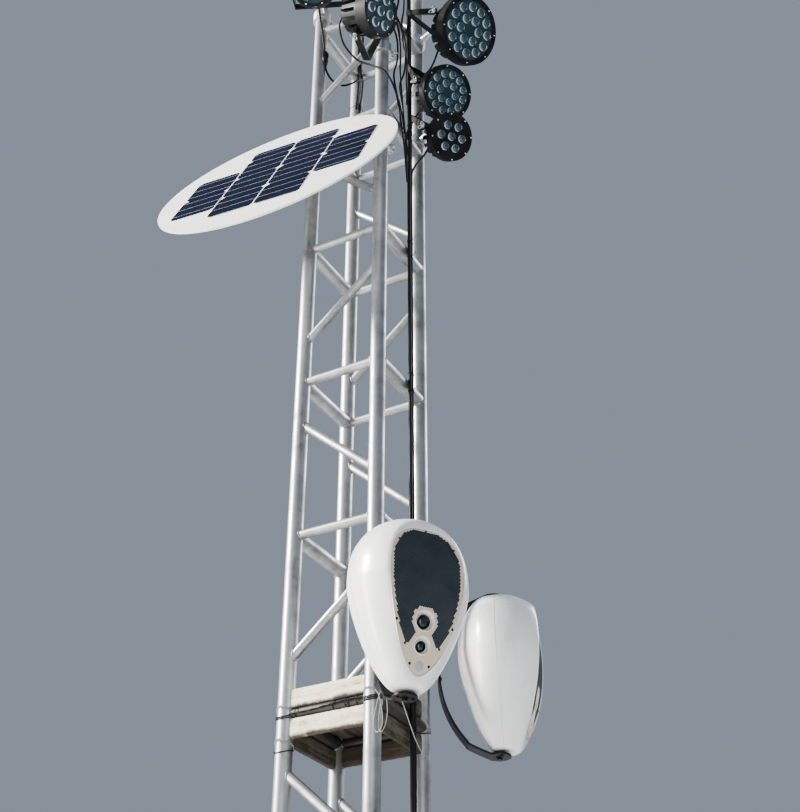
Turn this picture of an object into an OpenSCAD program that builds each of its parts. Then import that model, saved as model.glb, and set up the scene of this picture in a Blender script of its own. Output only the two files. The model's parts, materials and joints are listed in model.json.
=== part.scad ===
// Lattice mast of welded aluminium tube that carries two egg shaped loudspeaker pods,
// five floodlights and a round solar board. Millimetres, +Z up, the origin at the centre
// of the mast on the underside of its base plate. The front of the mast faces -Y.

/* [Mast] */
// Distance between the axes of neighbouring chords
chord_pitch = 254; // [230:1:300]
// Outside diameter of a chord tube
chord_od = 44.5; // [38:0.5:50]
// Wall of a chord tube
chord_wall = 3.2; // [2:0.1:5]
// Height of one bay of the lattice
bay_h = 508; // [480:1:560]
// Number of bays
bay_count = 12; // [11:1:12]
// Diameter of the rungs on the front and the back
rung_od = 25.4; // [20:0.1:30]
// Diameter of the rungs on the two sides
side_rung_od = 42; // [30:0.5:43]
// Diameter of the diagonals on the front and the back
brace_od = 25.4; // [20:0.1:30]
// Part of a bay that lies above and below each diagonal
brace_inset = 0.28; // [0.25:0.01:0.32]
// Distance of the first and last rungs from the ends of the chords
end_inset = 40; // [30:1:60]
// Gap left by the welds between a tube and what it meets
weld_gap = 0.2; // [0.1:0.05:0.4]

/* [Base] */
// Width of the square base plate
base_w = 600; // [520:10:800]
// Thickness of the base plate
base_t = 12; // [8:1:20]
// Distance between the anchor bolt holes
anchor_pitch = 500; // [440:10:560]
// Diameter of an anchor bolt hole
anchor_d = 22; // [14:1:26]
// Length of the spigot inside each chord
spigot_l = 120; // [60:5:200]
// Running clearance between a spigot and its chord, on the radius
spigot_gap = 0.3; // [0.1:0.1:0.8]

/* [Timber collar] */
// Level of the lattice that the collar surrounds, counted from the base
collar_bay = 6; // [5:1:7]
// Height of one plank
plank_h = 50; // [40:1:60]
// Thickness of one plank
plank_t = 20; // [16:1:21]
// How far the planks stand out past the chord axes
plank_out = 11; // [9:1:14]
// Gap between a plank and the rung beside it
plank_gap = 0.5; // [0.3:0.1:2]

/* [Pods] */
// Distance of the swivel axis of a pod from the axis of its chord
pod_reach = 200; // [190:1:215]
// Level of the widest part of a pod, in bays from the base
pod_level = 6.37; // [6.3:0.01:6.45]
// Half width of a pod
pod_r = 150; // [140:1:155]
// How far the middle of a pod lies ahead of its swivel axis
pod_ahead = 12; // [6:1:16]
// Depth of a pod behind its middle
pod_back = 113; // [105:1:120]
// How much further ahead the round of the back has its centre
back_round = 62; // [50:1:70]
// Height of a pod above its widest part
pod_up = 177; // [160:1:181]
// Depth of a pod below its widest part, to its flat foot
pod_down = 254; // [245:1:257]
// Radius of the flat foot of a pod
pod_foot_r = 36; // [30:1:40]
// Fullness of the crown of a pod, 2 for an ellipse
crown_power = 2.46; // [2.2:0.01:2.8]
// Fullness of the lower part of a pod
foot_power = 1.4; // [1.3:0.01:1.6]
// Radius of the curved front
pod_front_r = 600; // [560:1:700]
// Distance of the curved front from the swivel axis
pod_front_x = 122; // [119:0.5:124]
// Height of the most forward point of the front above the widest part
pod_front_z = 33; // [20:1:50]
// Depth of the recess that holds the face
face_recess = 5; // [4:0.5:6]
// Half width of the face panel
face_w = 96; // [90:1:96]
// Height of the widest part of the face panel
face_mid = 1; // [0:1:15]
// Reach of the face panel above its widest part
face_up = 121; // [110:1:125]
// Reach of the face panel below its widest part
face_down = 233; // [225:1:235]
// Half width of the grille
grille_w = 88; // [80:1:90]
// Height of the widest part of the grille
grille_mid = 6; // [0:1:15]
// Reach of the grille above its widest part
grille_up = 111; // [100:1:113]
// Reach of the grille below its widest part
grille_down = 215; // [205:1:218]
// Thickness of the grille
grille_t = 1.5; // [1:0.5:2]
// Thickness of the face panel
panel_t = 3; // [2:0.5:4]
// Radius of the panel round the upper lens
ring_r = 33; // [30:1:36]
// Half width of the neck below the upper lens
neck_w = 23; // [18:1:26]
// Depth of the neck below the widest part of a pod
neck_z = 145; // [139:1:149]
// Half width of the panel between the two tips of the grille
wedge_w = 40; // [35:1:44]
// Depth of the two tips of the grille
wedge_z = 167; // [162:1:170]
// Depth of the upper lens below the widest part of a pod
lens_1_z = 110; // [104:1:114]
// Depth of the lower lens below the widest part of a pod
lens_2_z = 165; // [160:1:169]
// Radius of the upper lens cup
cup_1_r = 25; // [22:1:27]
// Radius of the lower lens cup
cup_2_r = 21; // [18:1:23]
// Depth of a lens cup
cup_depth = 14; // [10:1:18]
// Depth of a pivot hole in a pod
pivot_depth = 14; // [8:1:20]
// Diameter of a pivot pin
pivot_d = 16; // [10:1:20]
// Running clearance of a pivot pin, on the radius
pivot_gap = 0.05; // [0.03:0.01:0.1]

/* [Pod yokes] */
// Radius of the curved yoke strap, to its outside
yoke_r = 285; // [275:1:300]
// Distance of the back of the strap from the axis of its chord
yoke_stand = 44; // [42:1:46]
// Height of the strap over its two tabs
yoke_h = 454; // [452:1:480]
// Width of the strap
strap_w = 42; // [30:1:50]
// Thickness of the strap
strap_t = 6; // [4:0.5:7]
// Diameter of the round tab at each end of the strap
tab_d = 62; // [50:1:70]
// Diameter of the bush between a pod and its yoke
bush_d = 34; // [24:1:44]
// Running clearance between a bush and its pod
bush_gap = 0.5; // [0.3:0.1:1]

/* [Floodlights] */
// Wall of a clamp around its chord
clamp_wall = 8; // [6:0.5:12]
// Height of a clamp
clamp_h = 40; // [30:1:60]
// Clearance between a clamp and its chord
clamp_gap = 0.2; // [0.1:0.05:0.4]
// How far the ears of a clamp stand out
ear_out = 14; // [10:1:16]
// Width of the two ears together
ear_w = 18; // [14:1:22]
// Height of an ear
ear_h = 28; // [20:1:30]
// Direction of the ears, counted from the neck of the clamp
ear_az = 150; // [140:1:160]
// Diameter of the neck between a clamp and its yoke
neck_d = 24; // [18:1:28]
// Width of a yoke bar
lamp_bar_w = 26; // [18:1:36]
// Thickness of a yoke bar
lamp_bar_t = 4; // [3:0.5:6]
// Gap between a lamp and the arms of its yoke
lamp_side_gap = 6; // [5:0.5:12]
// Diameter of the pin a lamp tilts on
lamp_pin_d = 10; // [6:1:14]
// Depth of the pin in the side of a lamp
lamp_pin_depth = 8; // [5:1:12]
// Depth of the lens face inside its bezel
lens_recess = 6; // [3:0.5:10]
// Part of the radius of a lamp that its lens face takes up
face_part = 0.86; // [0.8:0.01:0.9]
// Number of cooling fins round a lamp
fin_count = 16; // [12:2:20]
// Gap between two cooling fins
fin_gap = 13; // [8:0.5:15]

/* [Solar board] */
// Diameter of the board
board_d = 800; // [760:5:810]
// Thickness of the board
board_t = 6; // [4:1:12]
// Distance of the centre of the board left of the mast axis
board_left = 112; // [90:1:140]
// Distance of the centre of the board in front of the mast axis
board_front = 357; // [355:1:400]
// Level of the centre of the board, in bays from the base
board_level = 9.29; // [9.2:0.01:9.32]
// Lean of the board back from upright
board_lean = 27.3; // [20:0.1:28]
// Turn of the board towards the right
board_turn = 5.3; // [0:0.1:8]
// Height of the clamp of the bracket above the centre of the board
bracket_rise = 200; // [180:1:210]
// Length of the bracket's arm, before the board cuts it
bracket_arm = 90; // [85:1:100]
// Width of the bracket's arm and rib
bracket_w = 30; // [20:1:34]
// Thickness of the rib and the plate behind the board
bracket_t = 8; // [6:1:12]
// Diameter of the plate behind the board
bracket_plate_d = 180; // [120:5:260]
// Side of a solar cell
cell_w = 154; // [140:1:156]
// Gap between solar cells
cell_gap = 2; // [1:0.5:4]
// Corner cut off a solar cell
cell_cut = 15; // [5:1:20]
// Thickness of the cell layer
cell_t = 1; // [0.5:0.5:2]

/* [Cables] */
// Diameter of a power cable
cable_d = 11; // [8:1:12]
// Gap between a power cable and the rungs it is tied to
cable_gap = 0.5; // [0.3:0.1:0.8]
// Distance of the pair of cables behind the mast axis, at the base
cable_low = 50; // [30:1:60]
// Distance of the pair of cables behind the mast axis, at the top
cable_high = 12; // [8:1:24]
// Distance of the upper end of the cables from the top of the mast
cable_top = 200; // [160:5:600]

/* [Hidden] */
$fn = 48;
half = chord_pitch / 2;
chord_r = chord_od / 2;
mast_top = base_t + bay_count * bay_h;
chord_l = bay_count * bay_h;
left_front = [-half, -half];
right_front = [half, -half];
left_back = [-half, half];
right_back = [half, half];
collar_z = base_t + collar_bay * bay_h;
pod_z = base_t + pod_level * bay_h;
pod_mid = (pod_up - pod_down) / 2;
board_z = base_t + board_level * bay_h;
clamp_r = chord_r + clamp_gap + clamp_wall;
pitch_cell = cell_w + cell_gap;
cable_x = half + side_rung_od / 2 + cable_gap + cable_d / 2;

// Direction of the bracket's arm, and the place on the back of the board that it meets
bracket_az = board_turn - 90;
bracket_u = (half + board_left) * cos(board_turn) + (board_front - half) * sin(board_turn);
bracket_v = bracket_rise * cos(board_lean) + (bracket_rise * sin(board_lean) + board_t) * tan(board_lean);

// One row for each pod: chord, direction of the yoke, direction that the pod faces
FRONT_POD = [right_front, -38.5, -35];
RIGHT_POD = [right_back, 31, 20.5];

// One row for each floodlight: chord, level of the clamp in bays from the base, direction of
// the bolt, reach and drop of the pivot, direction and dip of the beam, radius, length,
// number of lens rings, distance of the yoke from the axis of its chord
LAMPS = [
    [left_front, 11.15, -66, 169, 40, -66, 33, 78, 95, 1, 60],
    [right_front, 10.555, -80, 165, 0, -3, 22, 85, 130, 1, 48],
    [right_back, 11.12, -17, 214, 112, -17, 33, 120, 110, 2, 75],
    [right_back, 10.59, -25, 130, 106, -25, 33, 95, 100, 2, 85],
    [right_back, 10.12, -25, 150, 92, -25, 33, 80, 90, 1, 85]
];

// Level k of the lattice, with the first and last rungs drawn in from the ends
function level_z(k) = k == 0 ? base_t + end_inset
    : k == bay_count ? mast_top - end_inset
    : base_t + k * bay_h;

// Round bar from one point to another
module bar(a, b, d) {
    v = b - a;
    l = norm(v);
    translate(a)
        rotate([0, acos(v[2] / l), atan2(v[1], v[0])])
            cylinder(h = l, d = d);
}

module chord_envelope(at) {
    translate([at[0], at[1], 0])
        cylinder(h = mast_top + 1, r = chord_r + weld_gap);
}

module base_plate() {
    color("darkgray") {
        difference() {
            translate([-base_w / 2, -base_w / 2, 0]) cube([base_w, base_w, base_t]);
            for (x = [-1, 1], y = [-1, 1])
                translate([x * anchor_pitch / 2, y * anchor_pitch / 2, -1])
                    cylinder(h = base_t + 2, d = anchor_d);
        }
        for (c = [left_front, right_front, left_back, right_back])
            translate([c[0], c[1], base_t / 2])
                cylinder(h = spigot_l + base_t / 2, r = chord_r - chord_wall - spigot_gap);
    }
}

module chord(at) {
    color("silver")
        translate([at[0], at[1], base_t])
            difference() {
                cylinder(h = chord_l, r = chord_r);
                translate([0, 0, -1]) cylinder(h = chord_l + 2, r = chord_r - chord_wall);
            }
}

// Rungs and zigzag diagonals between two chords of the front or the back
module braced_face(a, b) {
    color("silver")
        difference() {
            union() {
                for (k = [0:bay_count])
                    bar([a[0], a[1], level_z(k)], [b[0], b[1], level_z(k)], rung_od);
                for (k = [0:bay_count - 1]) {
                    low = base_t + (k + brace_inset) * bay_h;
                    high = base_t + (k + 1 - brace_inset) * bay_h;
                    left_end = k % 2 == 0 ? low : high;
                    right_end = k % 2 == 0 ? high : low;
                    bar([a[0], a[1], left_end], [b[0], b[1], right_end], brace_od);
                }
            }
            chord_envelope(a);
            chord_envelope(b);
        }
}

// Thick rungs of one side, cut round the chords and the thin rungs that meet them
module rung_face(a, b) {
    color("silver")
        difference() {
            for (k = [0:bay_count])
                bar([a[0], a[1], level_z(k)], [b[0], b[1], level_z(k)], side_rung_od);
            chord_envelope(a);
            chord_envelope(b);
            for (k = [0:bay_count], c = [a, b])
                translate([c[0], c[1], level_z(k)])
                    rotate([0, 90, 0])
                        cylinder(h = chord_pitch, r = rung_od / 2 + weld_gap, center = true);
        }
}

// Two planks between a pair of chords, above and below the rung
module plank_pair(turn, rung_d) {
    outer = half + plank_out;
    color("ivory")
        difference() {
            for (s = [-1, 1])
                rotate([0, 0, turn])
                    translate([-half, -outer, collar_z + s * (rung_d + plank_h + 2 * plank_gap) / 2])
                        translate([0, 0, -plank_h / 2])
                            cube([chord_pitch, plank_t, plank_h]);
            for (c = [left_front, right_front, left_back, right_back])
                chord_envelope(c);
        }
}

// Pair of cables that hang down outside the rungs of the right side
module power_cables() {
    color("black")
        for (i = [-0.5, 0.5])
            bar([cable_x, cable_low + i * (cable_d + cable_gap), base_t + 0.3],
                [cable_x, cable_high + i * (cable_d + cable_gap), mast_top - cable_top], cable_d);
}

// Radius of a pod at a height, from its foot to its crown
function egg_radius(z) = z > 0
    ? pod_r * pow(max(0, 1 - pow(z / pod_up, crown_power)), 1 / crown_power)
    : pod_foot_r + (pod_r - pod_foot_r)
        * pow(max(0, 1 - pow(-z / pod_down, foot_power)), 1 / foot_power);

// Body of revolution with that profile, widened by a shift and narrowed by a part
module egg(shift = 0, part = 1) {
    steps = 30;
    rotate_extrude($fn = 96)
        polygon(concat([[0, -pod_down]],
            [for (i = [0:steps]) let (z = -pod_down + (pod_up + pod_down) * (1 - cos(180 * i / steps)) / 2)
                [shift + part * egg_radius(z), z]],
            [[0, pod_up]]));
}

// Outline of a whole pod: round in front, flatter behind
module pod_body() {
    intersection() {
        translate([pod_ahead, 0, 0]) egg();
        translate([pod_ahead + back_round, 0, 0]) egg(back_round, pod_back / pod_r);
        behind_front(0);
    }
}

// Space behind the curved front of a pod, moved forward by a given amount
module behind_front(forward) {
    translate([pod_front_x - pod_front_r, 0, pod_front_z])
        rotate([90, 0, 0])
            cylinder(h = 4 * pod_r, r = pod_front_r + forward, center = true, $fn = 180);
}

// Distance of the curved front from the swivel axis at a height
function front_x(z) = pod_front_x - pod_front_r + sqrt(pow(pod_front_r, 2) - pow(z - pod_front_z, 2));

// Half width of an egg shaped outline at a height: half width, middle, reach up and down
function outline_w(z, w, mid, up, down) = z > mid
    ? w * pow(max(0, 1 - pow((z - mid) / up, 2.5)), 1 / 2.5)
    : w * pow(max(0, 1 - pow((mid - z) / down, 1.7)), 1 / 1.7);

// Egg shaped outline as a solid along X
module outline_solid(w, mid, up, down) {
    steps = 40;
    heights = [for (i = [0:steps]) mid - down + (up + down) * (1 - cos(180 * i / steps)) / 2];
    rotate([90, 0, 90])
        linear_extrude(2 * pod_r)
            polygon(concat([for (z = heights) [outline_w(z, w, mid, up, down), z]],
                [for (i = [1:steps - 1]) let (z = heights[steps - i]) [-outline_w(z, w, mid, up, down), z]]));
}

module face_region(grow) {
    outline_solid(face_w + grow, face_mid, face_up + grow, face_down + grow);
}

// Grille region: an egg less the part that the sensor panel covers
module grille_region(grow) {
    difference() {
        outline_solid(grille_w + grow, grille_mid, grille_up + grow, grille_down + grow);
        translate([-1, 0, 0])
            rotate([90, 0, 90])
                linear_extrude(2 * pod_r + 2) {
                    translate([0, -lens_1_z]) circle(r = ring_r - grow, $fn = 72);
                    for (s = [-1, 1])
                        polygon([[0, -lens_1_z], [s * (neck_w - grow), -lens_1_z - ring_r / 2],
                            [s * (neck_w - grow), -neck_z], [s * (wedge_w - grow), -wedge_z],
                            [s * pod_r, -wedge_z - grow], [s * pod_r, -pod_down], [0, -pod_down]]);
                }
    }
}

// Cylinder along X that passes the front at a height
module front_bore(z, r, depth, proud) {
    translate([front_x(z) - depth, 0, z])
        rotate([0, 90, 0]) cylinder(h = depth + proud, r = r);
}

module pod_shell() {
    color("white")
        difference() {
            pod_body();
            difference() {
                face_region(0.5);
                behind_front(-face_recess);
            }
            front_bore(-lens_1_z, cup_1_r + 1, face_recess + cup_depth + 4, 20);
            front_bore(-lens_2_z, cup_2_r + 1, face_recess + cup_depth + 4, 20);
            for (z = [pod_up - pivot_depth - 6, -pod_down - 1])
                translate([0, 0, z]) cylinder(h = pivot_depth + 7, r = pivot_d / 2 + pivot_gap);
        }
}

// Sheet that follows the front inside its recess
module face_sheet(t) {
    difference() {
        behind_front(-face_recess + 0.2 + t);
        behind_front(-face_recess + 0.2);
    }
}

module pod_grille() {
    color("dimgray")
        intersection() {
            face_sheet(grille_t);
            grille_region(0);
        }
}

// Cup of a lens: a conical hollow that ends in a flat floor
module lens_cup(z, r) {
    difference() {
        intersection() {
            front_bore(z, r, face_recess + cup_depth, 20);
            behind_front(-face_recess + 0.2 + panel_t);
        }
        translate([front_x(z) - face_recess - cup_depth + 3, 0, z])
            rotate([0, 90, 0])
                cylinder(h = cup_depth + 20, r1 = r * 0.6, r2 = r * 0.6 + (cup_depth + 20) * 0.42);
    }
}

module pod_sensor_panel() {
    color("wheat") {
        difference() {
            intersection() {
                face_sheet(panel_t);
                face_region(0);
            }
            grille_region(0.5);
            front_bore(-lens_1_z, cup_1_r - 1, 40, 20);
            front_bore(-lens_2_z, cup_2_r - 1, 40, 20);
        }
        lens_cup(-lens_1_z, cup_1_r);
        lens_cup(-lens_2_z, cup_2_r);
    }
}

module pod_lenses() {
    color([0.05, 0.06, 0.08])
        for (p = [[-lens_1_z, cup_1_r], [-lens_2_z, cup_2_r]])
            translate([front_x(p[0]) - face_recess - cup_depth + 3.2, 0, p[0]])
                rotate([0, 90, 0])
                    intersection() {
                        cylinder(h = 6, r = p[1] * 0.58);
                        translate([0, 0, 6 - p[1] * 1.1]) sphere(r = p[1] * 1.1, $fn = 72);
                    }
}

module pod_place(p, az) {
    translate([p[0][0] + pod_reach * cos(p[1]), p[0][1] + pod_reach * sin(p[1]), pod_z])
        rotate([0, 0, az])
            children();
}

// Curved strap with a round tab, a bush and a pin at each end
module pod_yoke(p) {
    centre_x = yoke_r - pod_reach + yoke_stand;
    tab = yoke_h / 2 - strap_t;
    tab_x = centre_x - sqrt(pow(yoke_r - strap_t / 2, 2) - pow(tab + strap_t / 2, 2));
    color([0.08, 0.08, 0.08])
        pod_place(p, p[1])
            translate([0, 0, pod_mid]) {
                intersection() {
                    translate([centre_x, 0, 0])
                        rotate([90, 0, 0])
                            difference() {
                                cylinder(h = strap_w, r = yoke_r, center = true, $fn = 144);
                                cylinder(h = strap_w + 2, r = yoke_r - strap_t, center = true, $fn = 144);
                            }
                    translate([-yoke_r, -strap_w, -yoke_h / 2])
                        cube([yoke_r, 2 * strap_w, yoke_h]);
                }
                for (s = [-1, 1]) {
                    translate([tab_x, -strap_w / 2, s * (tab + strap_t / 2) - strap_t / 2])
                        cube([-tab_x, strap_w, strap_t]);
                    translate([0, 0, s * (tab + strap_t / 2)])
                        cylinder(h = strap_t, d = tab_d, center = true);
                }
                yoke_pin(1, tab, pod_up - pod_mid);
                yoke_pin(-1, tab, pod_down + pod_mid);
            }
}

// Bush and pin that stand on a tab, from the tab to the pod's end and into it
module yoke_pin(side, tab, pod_end) {
    mirror([0, 0, side < 0 ? 1 : 0]) {
        translate([0, 0, pod_end + bush_gap])
            cylinder(h = tab - pod_end - bush_gap + 1, d = bush_d);
        translate([0, 0, pod_end - pivot_depth + 3])
            cylinder(h = tab - pod_end + pivot_depth - 2, d = pivot_d);
    }
}

// Clamp ring round a chord with a neck that reaches out to what it holds, and two ears
module chord_clamp(at, z, az, reach) {
    translate([at[0], at[1], z])
        rotate([0, 0, az])
            difference() {
                union() {
                    cylinder(h = clamp_h, r = clamp_r, center = true);
                    rotate([0, 90, 0]) cylinder(h = reach, d = neck_d);
                    rotate([0, 0, ear_az])
                        translate([0, -ear_w / 2, -ear_h / 2]) cube([clamp_r + ear_out, ear_w, ear_h]);
                }
                cylinder(h = 2 * clamp_h, r = chord_r + clamp_gap, center = true);
                rotate([0, 0, ear_az])
                    translate([0, -ear_w / 12, -clamp_h]) cube([2 * clamp_r, ear_w / 6, 2 * clamp_h]);
            }
}

module chord_clamps() {
    color("silver") {
        for (p = [FRONT_POD, RIGHT_POD])
            chord_clamp(p[0], pod_z + pod_mid, p[1], yoke_stand - 0.2);
        for (p = LAMPS)
            chord_clamp(p[0], base_t + p[1] * bay_h, p[2], p[10] - 0.2);
        chord_clamp(right_front, board_z + bracket_rise, bracket_az, clamp_r + 8);
    }
}

// Direction of the bolt, direction of the beam and the tilt axis square to both
function lamp_bolt(p) = [cos(p[2]), sin(p[2]), 0];
function lamp_beam(p) = [cos(p[6]) * cos(p[5]), cos(p[6]) * sin(p[5]), -sin(p[6])];
function lamp_axis(p) = let (t = cross(lamp_bolt(p), lamp_beam(p))) t / norm(t);

// Frame of a floodlight at its clamp: X along the bolt, Y along the tilt axis
module lamp_place(p) {
    t = lamp_axis(p);
    across = [-sin(p[2]), cos(p[2]), 0];
    translate([p[0][0], p[0][1], base_t + p[1] * bay_h])
        rotate([0, 0, p[2]])
            rotate([atan2(t[2], t * across), 0, 0])
                children();
}

// Frame of a lamp at its pivot: X along the beam
module head_place(p) {
    lamp_place(p)
        translate([p[3], 0, -p[4]])
            rotate([0, acos(lamp_bolt(p) * lamp_beam(p)), 0])
                children();
}

// Turned housing with cooling fins behind its bezel and a boss for each pin
module lamp_head(p) {
    r = p[7];
    l = p[8];
    color([0.1, 0.1, 0.1])
        head_place(p)
            difference() {
                union() {
                    difference() {
                        translate([-l / 2, 0, 0])
                            rotate([0, 90, 0])
                                rotate_extrude($fn = 72)
                                    polygon([[0, 0], [r * 0.62, 0], [r * 0.8, l * 0.12], [r * 0.86, l * 0.6],
                                        [r, l * 0.68], [r, l], [0, l]]);
                        for (i = [0:fin_count - 1])
                            rotate([(i + 0.5) * 360 / fin_count, 0, 0])
                                translate([-l / 2 - 1, -fin_gap / 2, r * 0.55])
                                    cube([l * 0.58, fin_gap, r]);
                    }
                    rotate([90, 0, 0]) cylinder(h = 2 * r * 0.86, d = lamp_pin_d * 2.4, center = true);
                }
                translate([l / 2 - lens_recess, 0, 0])
                    rotate([0, 90, 0]) cylinder(h = lens_recess + 1, r = r * face_part, $fn = 72);
                for (s = [-1, 1])
                    translate([0, s * (r * 0.86 - 4), 0])
                        rotate([90, 0, 0])
                            cylinder(h = 2 * lamp_pin_depth, d = lamp_pin_d + 2 * pivot_gap, center = true);
            }
}

module lamp_lenses(p) {
    r = p[7];
    l = p[8];
    lens_d = p[9] == 1 ? r * 0.36 : r * 0.28;
    color("slategray")
        head_place(p)
            translate([l / 2 - lens_recess + 0.2, 0, 0])
                rotate([0, 90, 0]) {
                    cylinder(h = 2, r = r * face_part - 0.3, $fn = 72);
                    if (p[9] == 1) cylinder(h = 4, d = lens_d);
                    for (ring = [1:p[9]])
                        for (i = [0:6 * ring - 1])
                            rotate([0, 0, 60 * i / ring])
                                translate([ring * r * (p[9] == 1 ? 0.54 : 0.34), 0, 0])
                                    cylinder(h = 4, d = lens_d);
                }
}

// Side view of a yoke arm, from the base bar to the rounded end at the pivot
module yoke_arm_outline(base, reach, drop) {
    along = [reach - base, -drop] / norm([reach - base, drop]);
    side = [-along[1], along[0]] * lamp_bar_w / 2;
    pivot = [reach, -drop];
    polygon([[base, lamp_bar_w / 2], [base, -lamp_bar_w / 2], pivot - side, pivot + side]);
    translate(pivot) circle(d = lamp_bar_w);
}

module lamp_yoke(p) {
    r = p[7];
    w = r + lamp_side_gap;
    reach = p[3];
    drop = p[4];
    base = p[10];
    pin_l = w + lamp_bar_t / 2 - r * 0.86 + lamp_pin_depth - 1;
    color([0.08, 0.08, 0.08])
        lamp_place(p) {
            for (s = [-1, 1]) {
                translate([0, s * (w + lamp_bar_t / 2) + lamp_bar_t / 2, 0])
                    rotate([90, 0, 0])
                        linear_extrude(lamp_bar_t) yoke_arm_outline(base, reach, drop);
                translate([reach, s * (w + lamp_bar_t / 2), -drop])
                    rotate([s * 90, 0, 0]) cylinder(h = pin_l, d = lamp_pin_d);
            }
            translate([base, -w - lamp_bar_t, -lamp_bar_w / 2])
                cube([lamp_bar_t, 2 * (w + lamp_bar_t), lamp_bar_w]);
        }
}

// Frame of the solar board: X along its width, Y up its face, Z out of its face
module board_place() {
    translate([-board_left, -board_front, board_z])
        rotate([0, 0, board_turn])
            rotate([90 - board_lean, 0, 0])
                children();
}

module solar_board() {
    color("white")
        board_place()
            translate([0, 0, -board_t])
                cylinder(h = board_t, d = board_d, $fn = 144);
}

// Cell with its corners cut off, of a given height in cells
module cell(part) {
    c = cell_cut;
    w = cell_w / 2;
    h = part * (cell_w + cell_gap) - cell_gap;
    linear_extrude(cell_t)
        polygon([[-w + c, 0], [w - c, 0], [w, c], [w, h - c], [w - c, h], [-w + c, h], [-w, h - c], [-w, c]]);
}

// Columns of cells: place across, foot of the column, number of cells, part of a last cell
module solar_cells() {
    color([0.03, 0.05, 0.18])
        board_place()
            for (c = [[-1.5, -1.28, 2, 0], [-0.5, -1.78, 3, 0.5], [0.5, -1.78, 3, 0.5], [1.5, -0.88, 2, 0]]) {
                for (i = [0:c[2] - 1])
                    translate([c[0] * pitch_cell, (c[1] + i) * pitch_cell, 0.2]) cell(1);
                if (c[3] > 0)
                    translate([c[0] * pitch_cell, (c[1] + c[2]) * pitch_cell, 0.2]) cell(c[3]);
            }
}

// Square arm from the clamp on the right front chord, and a rib and a round plate behind the board
module solar_bracket() {
    color([0.1, 0.1, 0.1])
        difference() {
            union() {
                translate([half, -half, board_z + bracket_rise])
                    rotate([0, 0, bracket_az])
                        translate([clamp_r + 8.2, -bracket_w / 2, -bracket_w / 2])
                            cube([bracket_arm, bracket_w, bracket_w]);
                board_place() {
                    translate([0, 0, -board_t - bracket_t])
                        cylinder(h = bracket_t - 0.2, d = bracket_plate_d);
                    rotate([0, 0, atan2(bracket_v, bracket_u)])
                        translate([0, -bracket_w / 2, -board_t - bracket_t])
                            cube([norm([bracket_u, bracket_v]) + bracket_w / 2, bracket_w, bracket_t - 0.2]);
                }
            }
            board_place()
                translate([0, 0, -board_t - 0.2])
                    cylinder(h = board_d, d = 2 * board_d);
        }
}

base_plate();
chord(left_front);  // chord_left_front
chord(right_front);  // chord_right_front
chord(left_back);  // chord_left_back
chord(right_back);  // chord_right_back
braced_face(left_front, right_front);  // front_lattice
braced_face(left_back, right_back);  // back_lattice
rung_face(left_front, left_back);  // left_rungs
rung_face(right_front, right_back);  // right_rungs
plank_pair(0, rung_od);  // collar_front_planks
plank_pair(180, rung_od);  // collar_back_planks
plank_pair(-90, side_rung_od);  // collar_left_planks
plank_pair(90, side_rung_od);  // collar_right_planks
pod_place(FRONT_POD, FRONT_POD[2]) pod_shell();  // front_pod_shell
pod_place(FRONT_POD, FRONT_POD[2]) pod_grille();  // front_pod_grille
pod_place(FRONT_POD, FRONT_POD[2]) pod_sensor_panel();  // front_pod_sensor_panel
pod_place(FRONT_POD, FRONT_POD[2]) pod_lenses();  // front_pod_lenses
pod_yoke(FRONT_POD);  // front_pod_yoke
pod_place(RIGHT_POD, RIGHT_POD[2]) pod_shell();  // right_pod_shell
pod_place(RIGHT_POD, RIGHT_POD[2]) pod_grille();  // right_pod_grille
pod_place(RIGHT_POD, RIGHT_POD[2]) pod_sensor_panel();  // right_pod_sensor_panel
pod_place(RIGHT_POD, RIGHT_POD[2]) pod_lenses();  // right_pod_lenses
pod_yoke(RIGHT_POD);  // right_pod_yoke
chord_clamps();
solar_board();
solar_cells();
solar_bracket();
power_cables();
lamp_head(LAMPS[0]);  // floodlight_1_head
lamp_lenses(LAMPS[0]);  // floodlight_1_lenses
lamp_yoke(LAMPS[0]);  // floodlight_1_yoke
lamp_head(LAMPS[1]);  // floodlight_2_head
lamp_lenses(LAMPS[1]);  // floodlight_2_lenses
lamp_yoke(LAMPS[1]);  // floodlight_2_yoke
lamp_head(LAMPS[2]);  // floodlight_3_head
lamp_lenses(LAMPS[2]);  // floodlight_3_lenses
lamp_yoke(LAMPS[2]);  // floodlight_3_yoke
lamp_head(LAMPS[3]);  // floodlight_4_head
lamp_lenses(LAMPS[3]);  // floodlight_4_lenses
lamp_yoke(LAMPS[3]);  // floodlight_4_yoke
lamp_head(LAMPS[4]);  // floodlight_5_head
lamp_lenses(LAMPS[4]);  // floodlight_5_lenses
lamp_yoke(LAMPS[4]);  // floodlight_5_yoke
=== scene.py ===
import json
import random
from collections import namedtuple
from math import asin, copysign, cos, hypot, pi, radians, sin, sqrt
import bmesh
import bpy
import numpy as np
from mathutils import Matrix, Vector
from mathutils.geometry import convex_hull_2d, delaunay_2d_cdt

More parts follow.
